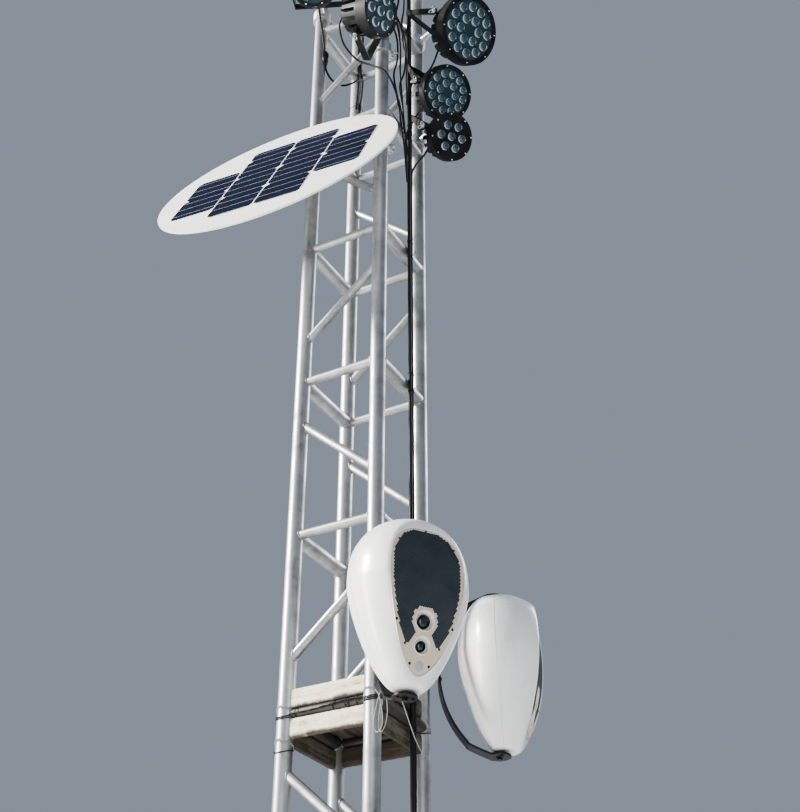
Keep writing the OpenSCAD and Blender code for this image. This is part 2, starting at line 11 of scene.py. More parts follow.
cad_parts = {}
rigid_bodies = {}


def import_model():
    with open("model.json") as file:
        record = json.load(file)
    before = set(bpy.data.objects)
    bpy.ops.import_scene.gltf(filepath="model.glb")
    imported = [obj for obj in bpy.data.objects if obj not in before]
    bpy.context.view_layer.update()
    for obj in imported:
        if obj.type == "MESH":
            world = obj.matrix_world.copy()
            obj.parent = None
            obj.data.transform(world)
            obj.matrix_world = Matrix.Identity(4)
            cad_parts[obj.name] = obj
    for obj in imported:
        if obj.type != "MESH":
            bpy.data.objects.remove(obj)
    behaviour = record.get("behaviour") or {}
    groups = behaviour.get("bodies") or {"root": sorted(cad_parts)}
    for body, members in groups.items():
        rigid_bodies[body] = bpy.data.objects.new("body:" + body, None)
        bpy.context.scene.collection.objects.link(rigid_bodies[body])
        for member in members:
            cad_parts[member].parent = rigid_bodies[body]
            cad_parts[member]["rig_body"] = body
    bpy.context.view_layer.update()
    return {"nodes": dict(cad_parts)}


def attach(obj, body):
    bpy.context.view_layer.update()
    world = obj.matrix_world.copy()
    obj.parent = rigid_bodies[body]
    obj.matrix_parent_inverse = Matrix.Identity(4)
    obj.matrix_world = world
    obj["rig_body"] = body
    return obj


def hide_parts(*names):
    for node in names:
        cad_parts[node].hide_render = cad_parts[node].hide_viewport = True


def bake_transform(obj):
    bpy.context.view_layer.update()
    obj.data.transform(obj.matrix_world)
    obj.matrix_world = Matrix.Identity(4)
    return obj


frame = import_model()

NODE = frame["nodes"]
MM = 0.001
RND = random.Random(11)


# ---- frames, in millimetres
def turned(degrees, axis):
    return Matrix.Rotation(radians(degrees), 4, axis)


def moved(x, y, z):
    return Matrix.Translation((x, y, z))


def framed(origin, x, y, z):
    return Matrix.Translation(origin) @ Matrix((x, y, z)).transposed().to_4x4()


def aim(place, direction, roll=0.0):
    """Frame with X along a direction."""
    x = Vector(direction).normalized()
    helper = Vector((0, 0, 1)) if abs(x.z) < 0.95 else Vector((0, 1, 0))
    y = helper.cross(x).normalized()
    return framed(Vector(place), x, y, x.cross(y)) @ Matrix.Rotation(roll, 4, "X")


# ---- camera fitted to the chords and the rung levels of the photograph, and lights
CAM_POS = Vector((1.6663, -2.7895, 1.8912))
CAM_AZ, CAM_EL, CAM_ROLL = radians(-28.84), radians(33.38), radians(0.17)
FOCAL_PX, PHOTO_W, SENSOR_W = 1310.94, 800.0, 36.0


def make_camera():
    data = bpy.data.cameras.new("Camera")
    data.sensor_fit, data.sensor_width = "HORIZONTAL", SENSOR_W
    data.lens = SENSOR_W * FOCAL_PX / PHOTO_W
    data.clip_start, data.clip_end = 0.05, 100.0
    forward = Vector((sin(CAM_AZ) * cos(CAM_EL), cos(CAM_AZ) * cos(CAM_EL), sin(CAM_EL)))
    flat = Vector((cos(CAM_AZ), -sin(CAM_AZ), 0.0))
    lift = flat.cross(forward)
    right = cos(CAM_ROLL) * flat + sin(CAM_ROLL) * lift
    up = -sin(CAM_ROLL) * flat + cos(CAM_ROLL) * lift
    cam = bpy.data.objects.new("Camera", data)
    cam.matrix_world = framed(CAM_POS, right, up, -forward)
    bpy.context.scene.collection.objects.link(cam)
    bpy.context.scene.camera = cam


def area_light(name, place, target, size, power, colour=(1.0, 1.0, 1.0), tall=0.0):
    data = bpy.data.lights.new(name, "AREA")
    data.shape, data.size, data.energy, data.color = "ELLIPSE" if tall else "DISK", size, power, colour
    if tall:
        data.size_y = tall
    light = bpy.data.objects.new(name, data)
    light.location = place
    light.rotation_euler = (Vector(target) - Vector(place)).to_track_quat("-Z", "Y").to_euler()
    bpy.context.scene.collection.objects.link(light)


make_camera()

# ---- sizes in mm, as in the CAD. The visible pods differ by a few mm: POD_DOWN is shorter, and they are
# leant, lifted and set back a little. The lower tab of the visible yokes is raised to meet them.
HALF, CHORD_R, BASE_T, BAY = 127.0, 22.25, 12.0, 508.0
BAYS, END_INSET = 12, 40.0
MAST_TOP = BASE_T + BAYS * BAY
RUNG_R, SIDE_R = 12.7, 21.0
LEFT_FRONT, RIGHT_FRONT, LEFT_BACK, RIGHT_BACK = (-HALF, -HALF), (HALF, -HALF), (-HALF, HALF), (HALF, HALF)
COLLAR_Z, POD_Z = BASE_T + 6 * BAY, BASE_T + 6.37 * BAY
POD_REACH, POD_UP, POD_DOWN, POD_R = 200.0, 176.2, 247.4, 149.0
FOOT_R, AHEAD, POD_BACK, BACK_ROUND = 37.5, 14.0, 113.0, 62.0
CROWN_POWER, FOOT_POWER = 2.46, 1.36
FRONT_R, FRONT_X, FRONT_Z = 592.0, 125.0, 32.0
POD_LEAN, POD_LIFT, POD_SET = 0.9, 1.4, -2.3
# Egg outlines: half width, height of the widest place, and reach above and below it
FACE, GRILLE = (96.0, 1.0, 121.0, 231.0), (88.0, 6.0, 111.0, 215.0)
RING_R, NECK_W, NECK_Z, WEDGE_W, WEDGE_Z = 33.0, 23.0, 145.0, 40.0, 167.0
POD_LENSES = ((-110.0, 25.0), (-165.0, 21.0))  # height and radius
# Chord, and the directions of the yoke and of the face
PODS = {"front_pod": (RIGHT_FRONT, -38.5, -35.0), "right_pod": (RIGHT_BACK, 31.0, 20.5)}
YOKE_R, YOKE_H, YOKE_STAND, STRAP_T, STRAP_W, TAB_R = 285.0, 454.0, 44.0, 6.0, 42.0, 31.0
YOKE_MID, TAB_RAISE = (177.0 - 254.0) / 2, 6.5
Lamp = namedtuple("Lamp", "chord level az reach drop beam_az dip r length")
LAMPS = {
    1: Lamp(LEFT_FRONT, 11.15, -66, 169, 40, -66, 33, 78, 95),
    2: Lamp(RIGHT_FRONT, 10.555, -80, 165, 0, -3, 22, 85, 130),
    3: Lamp(RIGHT_BACK, 11.12, -17, 214, 112, -17, 33, 120, 110),
    4: Lamp(RIGHT_BACK, 10.59, -25, 130, 106, -25, 33, 95, 100),
    5: Lamp(RIGHT_BACK, 10.12, -25, 150, 92, -25, 33, 80, 90),
}
BOARD_AT, BOARD_TURN, BOARD_LEAN = (-112.0, -357.0, BASE_T + 9.29 * BAY), 5.3, 27.3
CABLE_R, CABLE_GAP = 5.5, 0.5
CABLE_X = HALF + SIDE_R + CABLE_GAP + CABLE_R


# ---- mesh helpers
class Piece:
    """Gathers vertices and faces, in millimetres, and makes one object of them."""

    def __init__(self):
        self.verts, self.faces = [], []

    def add(self, shape, matrix=None):
        verts, faces = shape
        base = len(self.verts)
        self.verts += [tuple(v) if matrix is None else tuple(matrix @ Vector(v)) for v in verts]
        self.faces += [[base + i for i in f] for f in faces]
        return self

    def build(self, name, material, body, slot, replaced=(), angle=35.0, second=None):
        """The second pair, a material and a set of face numbers, dresses part of the piece."""
        mesh = bpy.data.meshes.new(name)
        mesh.from_pydata([(x * MM, y * MM, z * MM) for x, y, z in self.verts], [], self.faces)
        work = bmesh.new()
        work.from_mesh(mesh)
        bmesh.ops.recalc_face_normals(work, faces=work.faces)
        work.to_mesh(mesh)
        work.free()
        mesh.shade_smooth()
        mesh.set_sharp_from_angle(angle=radians(angle))
        mesh.materials.append(material)
        if second:
            mesh.materials.append(second[0])
            for i in second[1]:
                mesh.polygons[i].material_index = 1
        obj = bpy.data.objects.new(name, mesh)
        bpy.context.scene.collection.objects.link(obj)
        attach(obj, body)
        if replaced:
            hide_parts(*replaced)
        return obj


def join(*shapes):
    whole = Piece()
    for shape in shapes:
        whole.add(shape)
    return whole.verts, whole.faces


def ring_faces(rows, count, closed=False):
    """Quads between rings of points, and from the last ring back to the first if closed."""
    faces = []
    for r in range(rows if closed else rows - 1):
        a, b = r * count, (r + 1) % rows * count
        faces += [[a + i, a + (i + 1) % count, b + (i + 1) % count, b + i] for i in range(count)]
    return faces


def end_caps(rows, count):
    return [list(range(count)), [(rows - 1) * count + i for i in range(count)][::-1]]


def around(count):
    """Even angles round a circle."""
    return np.linspace(0, 2 * pi, count + 1)[:-1]


def lathe(profile, count=40, cap_start=True, cap_end=True):
    """Turns a profile of (along, radius) round the X axis."""
    verts = [(x, r * cos(2 * pi * i / count), r * sin(2 * pi * i / count)) for x, r in profile for i in range(count)]
    start, end = end_caps(len(profile), count)
    return verts, ring_faces(len(profile), count) + [start] * cap_start + [end] * cap_end


def smooth_path(points, steps=6):
    """Points along a smooth curve that passes through the given ones."""
    pts = [Vector(p) for p in points]
    pts = [2 * pts[0] - pts[1]] + pts + [2 * pts[-1] - pts[-2]]
    out = []
    for k in range(1, len(pts) - 2):
        a, b, c, d = pts[k - 1:k + 3]
        for t in (s / steps for s in range(steps)):
            out.append(0.5 * ((2 * b) + (c - a) * t + (2 * a - 5 * b + 4 * c - d) * t ** 2
                              + (3 * b - a - 3 * c + d) * t ** 3))
    return out + [pts[-2]]


def tube(points, radius, sides=8, closed=False):
    """Tube round a line of points. The radius is one number or a list."""
    pts = [Vector(p) for p in points]
    n = len(pts)
    radii = radius if isinstance(radius, list) else [radius] * n
    tangents = []
    for i in range(n):
        a = pts[i - 1] if (closed or i > 0) else pts[i]
        b = pts[(i + 1) % n] if (closed or i < n - 1) else pts[i]
        tangents.append((b - a).normalized())
    side = tangents[0].orthogonal().normalized()
    verts = []
    for i in range(n):
        side = (side - side.dot(tangents[i]) * tangents[i]).normalized()
        other = tangents[i].cross(side)
        for a in (2 * pi * k / sides for k in range(sides)):
            verts.append(pts[i] + radii[i] * (cos(a) * side + sin(a) * other))
    return verts, ring_faces(n, sides, closed) + ([] if closed else end_caps(n, sides))


WASHER_T = 1.6


def hex_bolt(r, head_h, washer_r):
    """Hexagon head with a chamfer on a washer, along X from the surface outward."""
    head = [(x, s * r * cos(pi * k / 3), s * r * sin(pi * k / 3))
            for x, s in ((WASHER_T, 1.0), (head_h * 0.85, 1.0), (head_h, 0.86)) for k in range(6)]
    return join(lathe([(0, washer_r), (WASHER_T, washer_r), (WASHER_T, r * 1.02)], 24),
                (head, ring_faces(3, 6) + end_caps(3, 6)[1:]))


# ---- materials
class Looks:
    """A procedural material built round one principled shader."""

    def __init__(self, name, **values):
        self.mat = bpy.data.materials.new(name)
        self.mat.use_nodes = True
        self.tree = self.mat.node_tree
        self.shader = self.tree.nodes["Principled BSDF"]
        for key, value in values.items():
            self.shader.inputs[key.replace("_", " ")].default_value = value
        self.coord = self.add("ShaderNodeTexCoord").outputs["Object"]

    def add(self, kind, **values):
        node = self.tree.nodes.new(kind)
        for key, value in values.items():
            node.inputs[key].default_value = value
        return node

    def link(self, a, b):
        self.tree.links.new(a, b)

    def feed(self, socket, value):
        """Sets a socket to a colour or a number, or links another socket to it."""
        if isinstance(value, tuple):
            socket.default_value = (*value, 1)
        elif isinstance(value, (int, float)):
            socket.default_value = value
        else:
            self.link(value, socket)

    def space(self, stretch=(1, 1, 1)):
        node = self.add("ShaderNodeMapping", Scale=stretch)
        self.link(self.coord, node.inputs["Vector"])
        return node.outputs["Vector"]

    def split(self, vector):
        node = self.add("ShaderNodeSeparateXYZ")
        self.link(vector, node.inputs["Vector"])
        return node.outputs

    def noise(self, scale, detail=3.0, rough=0.55, stretch=(1, 1, 1), distort=0.0):
        node = self.add("ShaderNodeTexNoise", Scale=scale, Detail=detail, Roughness=rough, Distortion=distort)
        self.link(self.space(stretch), node.inputs["Vector"])
        return node.outputs["Fac"]

    def ramp(self, fac, *stops):
        node = self.add("ShaderNodeValToRGB")
        band = node.color_ramp
        while len(band.elements) < len(stops):
            band.elements.new(0.5)
        for element, (place, colour) in zip(band.elements, stops):
            element.position = place
            element.color = (*colour, 1) if isinstance(colour, tuple) else (colour, colour, colour, 1)
        self.link(fac, node.inputs["Fac"])
        return node.outputs["Color"]

    def math(self, kind, a, b=0.0):
        node = self.add("ShaderNodeMath")
        node.operation = kind
        for socket, value in zip(node.inputs, (a, b)):
            self.feed(socket, value)
        return node.outputs["Value"]

    def weigh(self, a, share_a, b, share_b):
        return self.math("ADD", self.math("MULTIPLY", a, share_a), self.math("MULTIPLY", b, share_b))

    def ragged(self, value, noise, middle, depth):
        """A value with a noise of some depth added round its middle."""
        return self.math("ADD", value, self.math("MULTIPLY", self.math("SUBTRACT", noise, middle), depth))

    def off_height(self, z):
        """Distance above or below a height given in mm."""
        return self.math("ABSOLUTE", self.math("SUBTRACT", self.split(self.coord)["Z"], z * MM))

    def mix(self, fac, a, b, kind="MIX"):
        node = self.add("ShaderNodeMix")
        node.data_type, node.blend_type = "RGBA", kind
        for i, value in ((0, fac), (6, a), (7, b)):
            self.feed(node.inputs[i], value)
        return node.outputs[2]

    def done(self, colour, roughness=None, height=None, strength=0.0, distance=0.0):
        """Links the maps that are given to the shader, and returns the material."""
        self.link(colour, self.shader.inputs["Base Color"])
        if roughness is not None:
            self.link(roughness, self.shader.inputs["Roughness"])
        if height is not None:
            node = self.add("ShaderNodeBump", Strength=strength, Distance=distance)
            self.link(height, node.inputs["Height"])
            self.link(node.outputs["Normal"], self.shader.inputs["Normal"])
        return self.mat


def tube_looks(name, stretch, collar=True):
    """Dull drawn aluminium, streaked along the tube, and blackened at the collar as painted shade in the gap between
    the planks.
    """
    metal = 0.82
    m = Looks(name, Metallic=metal)
    streak = m.noise(60.0, 2.0, 0.5, stretch=stretch)
    both = m.weigh(m.noise(9.0, 5.0, 0.62, distort=0.4), 0.72, streak, 0.28)
    bare_and_painted_shade = m.ramp(both, (0.3, (0.16, 0.16, 0.155)), (0.42, (0.33, 0.335, 0.34)), (0.54, (0.46, 0.465, 0.47)),
                  (0.68, (0.56, 0.565, 0.57)))
    if collar:
        # painted shade: the rungs go near-black and lose their metal within about 22 mm of the collar's middle, where
        # they pass between the planks
        grime_and_painted_shade = m.ramp(m.ragged(m.off_height(COLLAR_Z), m.noise(30.0, 4.0), 0.5, 0.01), (0.022, 0.96), (0.03, 0.0))
        bare_and_painted_shade = m.mix(grime_and_painted_shade, bare_and_painted_shade, (0.03, 0.025, 0.02))
        m.link(m.math("MULTIPLY", m.math("SUBTRACT", 1.0, grime_and_painted_shade), metal), m.shader.inputs["Metallic"])
    return m.done(bare_and_painted_shade, m.ramp(both, (0.3, 0.6), (0.55, 0.4), (0.7, 0.33)),
                  m.math("ADD", m.noise(420.0, 2.0), m.math("MULTIPLY", streak, 0.6)), 0.12, 0.0006)


def wood_looks(name, stretch, bare_and_painted_shade=0.0, painted_shade=1.0, edges=()):
    """Whitewashed boards. More bare wood shows with bare_and_painted_shade, and painted_shade darkens them; both are
    painted shade for boards in shade. Their edges at two heights are dark.
    """
    m = Looks(name)
    grain = m.noise(7.0, 6.0, 0.62, stretch=stretch, distort=0.5)
    stain = m.noise(17.0, 6.0, 0.7)
    fine = m.noise(34.0, 3.0, 0.5, stretch=stretch)

    def shaded(fac, dim, *stops):
        return m.ramp(fac, *((place, tuple(v * dim for v in colour)) for place, colour in stops))

    # painted shade: painted_shade dims both the bare wood and the wash
    wood = shaded(grain, 0.25 + 0.75 * painted_shade, (0.3, (0.05, 0.04, 0.03)), (0.48, (0.18, 0.145, 0.105)),
                  (0.65, (0.3, 0.26, 0.2)))
    wash = shaded(fine, painted_shade, (0.3, (0.55, 0.49, 0.36)), (0.5, (0.76, 0.69, 0.52)), (0.7, (0.84, 0.78, 0.62)))
    # the offset shows more dark bare wood: wear, and painted shade on the shaded copies
    wear_and_shade_mask = m.ramp(m.weigh(stain, 0.6, grain, 0.4), (0.33 + bare_and_painted_shade, 0.0), (0.44 + bare_and_painted_shade, 0.8), (0.52 + bare_and_painted_shade, 1.0))
    face = m.mix(wear_and_shade_mask, wood, wash)
    if edges:
        near = m.math("MINIMUM", *[m.off_height(z) for z in edges])
        # darker along the planks' lower edges, at the given heights
        dark_lower_edge = m.ramp(m.ragged(near, m.noise(26.0, 5.0, 0.7), 0.55, 0.03), (0.002, 0.92), (0.006, 0.0))
        face = m.mix(dark_lower_edge, face, (0.035, 0.028, 0.02))
    return m.done(face, m.ramp(stain, (0.3, 0.95), (0.7, 0.7)),
                  m.math("ADD", grain, m.math("MULTIPLY", fine, 0.5)), 0.6, 0.0018)


def paint_looks(name, base, rough, orange=0.08, amount=0.12, grainy=380.0, metal=0.0, gloss=0.5):
    """Paint, rubber or cast metal: dust lifts its colour by amount, and orange is its peel."""
    m = Looks(name, Metallic=metal, Specular_IOR_Level=gloss)
    cloud = m.noise(16.0, 5.0, 0.65)
    lifted = tuple(min(1.0, b + amount * 0.3) for b in base)
    return m.done(m.ramp(cloud, (0.35, base), (0.6, lifted), (0.75, tuple(min(1.0, v * 1.15) for v in lifted))),
                  m.ramp(cloud, (0.3, rough * 0.85), (0.7, min(1.0, rough * 1.35))),
                  m.noise(grainy, 2.0), orange, 0.0008)


def base_looks():
    m = Looks("galvanised_steel", Metallic=0.85)
    cells = m.add("ShaderNodeTexVoronoi", Scale=70.0)
    m.link(m.space(), cells.inputs["Vector"])
    spangle = m.ramp(cells.outputs["Color"], (0.2, (0.34, 0.35, 0.36)), (0.8, (0.58, 0.59, 0.6)))
    dirt = m.ramp(m.noise(6.0, 5.0, 0.65), (0.35, (0.24, 0.22, 0.2)), (0.55, (1.0, 1.0, 1.0)))
    return m.done(m.mix(0.8, spangle, dirt, "MULTIPLY"), m.ramp(m.noise(22.0, 4.0), (0.3, 0.55), (0.7, 0.34)),
                  m.noise(260.0, 3.0), 0.2, 0.0006)


def shell_looks():
    m = Looks("gloss_white_shell", Coat_Weight=0.35, Coat_Roughness=0.12, Specular_IOR_Level=0.5)
    dirt = m.noise(5.0, 6.0, 0.68, stretch=(1.0, 1.0, 0.45))
    both = m.weigh(dirt, 0.7, m.noise(26.0, 3.0, 0.5, stretch=(1.0, 1.0, 0.08)), 0.3)
    return m.done(m.ramp(both, (0.32, (0.74, 0.73, 0.69)), (0.46, (0.86, 0.86, 0.84)), (0.6, (0.91, 0.91, 0.9))),
                  m.ramp(both, (0.34, 0.42), (0.6, 0.24)), m.noise(150.0, 2.0), 0.06, 0.0005)


def board_looks():
    m = Looks("white_laminate", Coat_Weight=0.2, Coat_Roughness=0.2)
    grime_and_painted_shade = m.noise(8.0, 6.0, 0.7)
    return m.done(m.ramp(grime_and_painted_shade, (0.3, (0.78, 0.77, 0.73)), (0.48, (0.9, 0.9, 0.88)), (0.65, (0.94, 0.94, 0.93))),
                  m.ramp(grime_and_painted_shade, (0.3, 0.5), (0.65, 0.28)), m.noise(320.0, 2.0), 0.08, 0.0004)


def cell_looks():
    """Dark silicon in the board's own frame: three wires a cell, white gaps between columns, and fine fingers."""
    m = Looks("solar_silicon", Roughness=0.3, Specular_IOR_Level=0.06)
    back = (moved(*BOARD_AT) @ turned(BOARD_TURN, "Z") @ turned(90 - BOARD_LEAN, "X")).inverted()
    flat = m.add("ShaderNodeMapping", Rotation=back.to_euler(), Location=back.translation * MM)
    m.link(m.coord, flat.inputs["Vector"])
    on_board = m.split(flat.outputs["Vector"])

    def lines(socket, pitch, width, start):
        shifted = m.math("DIVIDE", m.math("SUBTRACT", socket, start), pitch)
        off = m.math("ABSOLUTE", m.math("SUBTRACT", m.math("FRACT", shifted), 0.5))
        return m.math("LESS_THAN", off, 0.5 * width / pitch)

    cell = 0.156
    wires = lines(on_board["Y"], 0.052, 0.002, -0.2499)
    gaps = lines(on_board["X"], cell, 0.0042, -cell / 2)
    fingers = lines(on_board["X"], 0.0022, 0.0002, 0.0)
    navy = m.ramp(m.noise(11.0, 3.0, 0.5), (0.3, (0.0012, 0.002, 0.009)), (0.7, (0.0025, 0.0045, 0.022)))
    face = m.mix(m.math("MULTIPLY", fingers, 0.07), navy, (0.3, 0.34, 0.45))
    return m.done(m.mix(gaps, m.mix(wires, face, (0.36, 0.4, 0.48)), (0.86, 0.86, 0.85)), None,
                  m.noise(200.0, 2.0), 0.05, 0.0004)


def glass_looks(name, base, rough, coat):
    m = Looks(name, Coat_Weight=coat, Coat_Roughness=0.04, Specular_IOR_Level=0.7)
    cloud = m.noise(120.0, 2.0)
    return m.done(m.ramp(cloud, (0.3, base), (0.7, tuple(min(1.0, v * 1.4) for v in base))),
                  m.ramp(cloud, (0.3, rough), (0.7, rough * 1.3)))


SOOT = (0.006, 0.006, 0.007)
# Heights of the dark edges of the planks that run along X and along Y
LOW_X, LOW_Y = (COLLAR_Z + 13.2, COLLAR_Z - 63.2), (COLLAR_Z + 21.5, COLLAR_Z - 71.5)
MAT_TUBE_Z = tube_looks("tube_upright", (1.0, 1.0, 0.03), collar=False)
MAT_TUBE_X = tube_looks("tube_across", (0.04, 1.0, 1.0))
MAT_TUBE_Y = tube_looks("tube_side", (1.0, 0.04, 1.0))
MAT_WOOD_X = wood_looks("timber_across", (0.7, 9.0, 9.0), edges=LOW_X)
# painted shade: the back planks, the side planks and the deck are darker copies of the timber, for the collar's shaded
# inside and its shaded right side
MAT_WOOD_BACK = wood_looks("timber_back_painted_shade", (0.7, 9.0, 9.0), 0.16, 0.17, LOW_X)
MAT_WOOD_Y = wood_looks("timber_side_painted_shade", (9.0, 0.7, 9.0), 0.14, 0.22, LOW_Y)
MAT_DECK = wood_looks("timber_deck_painted_shade", (9.0, 0.7, 9.0), 0.16, 0.12)
MAT_BLACK = paint_looks("satin_black", SOOT, 0.34, amount=0.025, gloss=0.3)
MAT_CASTING = paint_looks("black_casting", SOOT, 0.42, 0.2, 0.03, 900.0, gloss=0.25)
MAT_CABLE = paint_looks("cable_rubber", SOOT, 0.5, 0.1, 0.02, gloss=0.3)
MAT_CAST = paint_looks("cast_clamp", (0.55, 0.56, 0.57), 0.38, 0.25, 0.6, 500.0, metal=1.0)
MAT_BOLT = paint_looks("zinc_bolt", (0.62, 0.62, 0.6), 0.3, 0.06, 0.4, 700.0, metal=1.0)
MAT_WELD = paint_looks("weld_bead", (0.3, 0.3, 0.3), 0.42, 0.3, 0.6, 600.0, metal=0.9)
MAT_CREAM = paint_looks("cream_plastic", (0.66, 0.56, 0.43), 0.42, 0.1, 0.06, 900.0)
MAT_CUP = paint_looks("pale_cup", (0.82, 0.8, 0.74), 0.35, 0.04, 0.05, 900.0)
MAT_BACKING = paint_looks("grille_backing", (0.03, 0.045, 0.055), 0.5, 0.2, 0.05, 300.0)
MAT_WEB = paint_looks("grille_webs", (0.06, 0.078, 0.09), 0.42, 0.05, 0.08, 900.0)
MAT_BEZEL = paint_looks("lens_barrel", (0.007, 0.007, 0.008), 0.3, 0.05, 0.03, gloss=0.35)
MAT_BASE = base_looks()
MAT_SHELL = shell_looks()
MAT_BOARD = board_looks()
MAT_CELL = cell_looks()
MAT_DARK_GLASS = glass_looks("dark_glass", (0.012, 0.016, 0.022), 0.06, 0.8)
MAT_LAMP_PLATE = paint_looks("lamp_plate", (0.016, 0.04, 0.055), 0.4, 0.08, 0.04, gloss=0.3)
MAT_LENS_WALL = paint_looks("lens_wall", (0.6, 0.7, 0.74), 0.3, 0.05, 0.1)
MAT_LED = glass_looks("clear_lens", (0.02, 0.05, 0.065), 0.14, 0.6)
MAT_WINDOW = paint_looks("pale_window", (0.42, 0.44, 0.46), 0.3, 0.02, 0.1)
MAT_WIRE = paint_looks("pale_wire", (0.28, 0.28, 0.25), 0.5, 0.1, 0.3)
MAT_SEAM = paint_looks("seam_line", (0.42, 0.42, 0.41), 0.6)

for ending, material in (
        ("_front", MAT_TUBE_Z), ("_back", MAT_TUBE_Z), ("_lattice", MAT_TUBE_X), ("_rungs", MAT_TUBE_Y),
        ("_yoke", MAT_BLACK), ("solar_bracket", MAT_BLACK), ("_head", MAT_CASTING), ("base_plate", MAT_BASE),
        ("chord_clamps", MAT_CAST), ("power_cables", MAT_CABLE), ("solar_board", MAT_BOARD), ("solar_cells", MAT_CELL)):
    for node_name in NODE:
        if node_name.endswith(ending):
            slots = NODE[node_name].data.materials
            if slots:
                for i in range(len(slots)):
                    slots[i] = material
            else:
                slots.append(material)


# ---- pods
def rounding(t, power):
    """Falls from one to zero along a rounded curve, as t goes from zero to one."""
    return np.maximum(0, 1 - np.clip(t, 0, 1) ** power) ** (1 / power)


def egg_radius(z):
    low = FOOT_R + (POD_R - FOOT_R) * rounding(-z / POD_DOWN, FOOT_POWER)
    return np.where(z > 0, POD_R * rounding(z / POD_UP, CROWN_POWER), low)


def front_x(z):
    return FRONT_X - FRONT_R + np.sqrt(FRONT_R ** 2 - (z - FRONT_Z) ** 2)


def outline_w(z, shape):
    w, mid, up, down = shape
    return np.where(z > mid, w * rounding((z - mid) / up, 2.5), w * rounding((mid - z) / down, 1.7))


def soft_max(a, b, k):
    h = np.maximum(k - np.abs(a - b), 0) / k
    return np.maximum(a, b) + h * h * k / 4


def sides_depth(p):
    """Below zero inside the round sides, back and foot of a pod."""
    r = egg_radius(p[..., 2])
    ahead = np.hypot(p[..., 0] - AHEAD, p[..., 1]) - r
    behind = np.hypot(p[..., 0] - AHEAD - BACK_ROUND, p[..., 1]) - BACK_ROUND - r * POD_BACK / POD_R
    return soft_max(soft_max(ahead, behind, 6.0), np.maximum(-p[..., 2] - POD_DOWN, p[..., 2] - POD_UP), 4.0)


def front_depth(p):
    return np.hypot(p[..., 0] - FRONT_X + FRONT_R, p[..., 2] - FRONT_Z) - FRONT_R


CORE = np.array([20.0, 0.0, -40.0])


def bisect(low, high, inside, steps=34):
    """Largest values found inside, between a bound inside and one outside."""
    for _ in range(steps):
        mid = (low + high) / 2
        keep = inside(mid)
        low, high = np.where(keep, mid, low), np.where(keep, high, mid)
    return low


def cast(direction, depth, core=CORE, far=420.0):
    """Distance from the core to where a ray leaves a shape."""
    none = np.zeros(direction.shape[:-1])
    return bisect(none, none + far, lambda s: depth(core + s[..., None] * direction) < 0)


def spread_directions(theta, phi):
    return np.stack([np.cos(phi), np.sin(phi) * np.sin(theta), np.sin(phi) * np.cos(theta)], -1)


def outline_loop(shape, grow, count):
    """Points of an egg outline at even angles round the core, as distances from it."""
    theta = np.arange(count) * 2 * pi / count
    w, mid, up, down = shape
    grown = (w + grow, mid, up + grow, down + grow)

    def inside(s):
        y, z = s * np.sin(theta), CORE[2] + s * np.cos(theta)
        return (np.abs(y) < outline_w(z, grown)) & (z < mid + up + grow) & (z > mid - down - grow)

    return theta, bisect(np.zeros(count), np.full(count, 400.0), inside, 40)


def pod_shell_mesh():
    """Rings from the rim of the face over the crease and the sides to the pole at the back."""
    count, half_crease = 192, 8.0
    theta, rim = outline_loop(FACE, 0.5, count)

    def at_rim(extra, drop):
        y, z = (rim + extra) * np.sin(theta), CORE[2] + (rim + extra) * np.cos(theta)
        return np.stack([front_x(z) - drop, y, z], -1)

    def on_front(phi):
        d = spread_directions(theta, phi)
        reach = cast(d, front_depth)
        return reach, CORE + reach[:, None] * d

    rows = [at_rim(0.0, 6.5), at_rim(0.0, 1.2), at_rim(0.35, 0.35)]
    start = np.arctan2(rim + 1.2, at_rim(1.2, 0.0)[:, 0] - CORE[0])
    crease = bisect(start, np.full(count, 2.6), lambda phi: sides_depth(on_front(phi)[1]) < 0)
    half_band = half_crease / on_front(crease)[0]
    near, far = np.maximum(start + 0.004, crease - half_band), crease + half_band
    for a, b, steps in ((start, near, 8), (near, far, 11), (far, pi, 54)):
        for t in np.linspace(0, 1, steps)[:-1]:
            d = spread_directions(theta, a + (b - a) * t)
            reach = cast(d, lambda p: soft_max(sides_depth(p), front_depth(p), 6.0))
            rows.append(CORE + reach[:, None] * d)
    to_pole = np.array([[-1.0, 0.0, 0.0]])
    rows.append(CORE + cast(to_pole, sides_depth)[:, None] * to_pole)
    verts = [tuple(float(c) for c in v) for row in rows for v in row]
    last, tip = len(verts) - 1 - count, len(verts) - 1
    return verts, ring_faces(len(rows) - 1, count) + [[last + i, last + (i + 1) % count, tip] for i in range(count)]


def front_at(z):
    return float(front_x(np.array(z)))


def half_width(z, shape):
    return float(outline_w(np.array(z), shape))


def grille_open(y, z):
    """Whether the open grille, and not the panel, is at a place on the face."""
    ring_z = POD_LENSES[0][0]
    if abs(y) > half_width(z, GRILLE) or z < -WEDGE_Z or hypot(y, z - ring_z) < RING_R:
        return False
    if z < ring_z - RING_R / 2:
        half = NECK_W if z > -NECK_Z else NECK_W + (WEDGE_W - NECK_W) * (-NECK_Z - z) / (WEDGE_Z - NECK_Z)
        return abs(y) > half
    return True


def circle_loop(cy, cz, r, count=40):
    return [(cy + r * cos(2 * pi * i / count), cz + r * sin(2 * pi * i / count)) for i in range(count)]


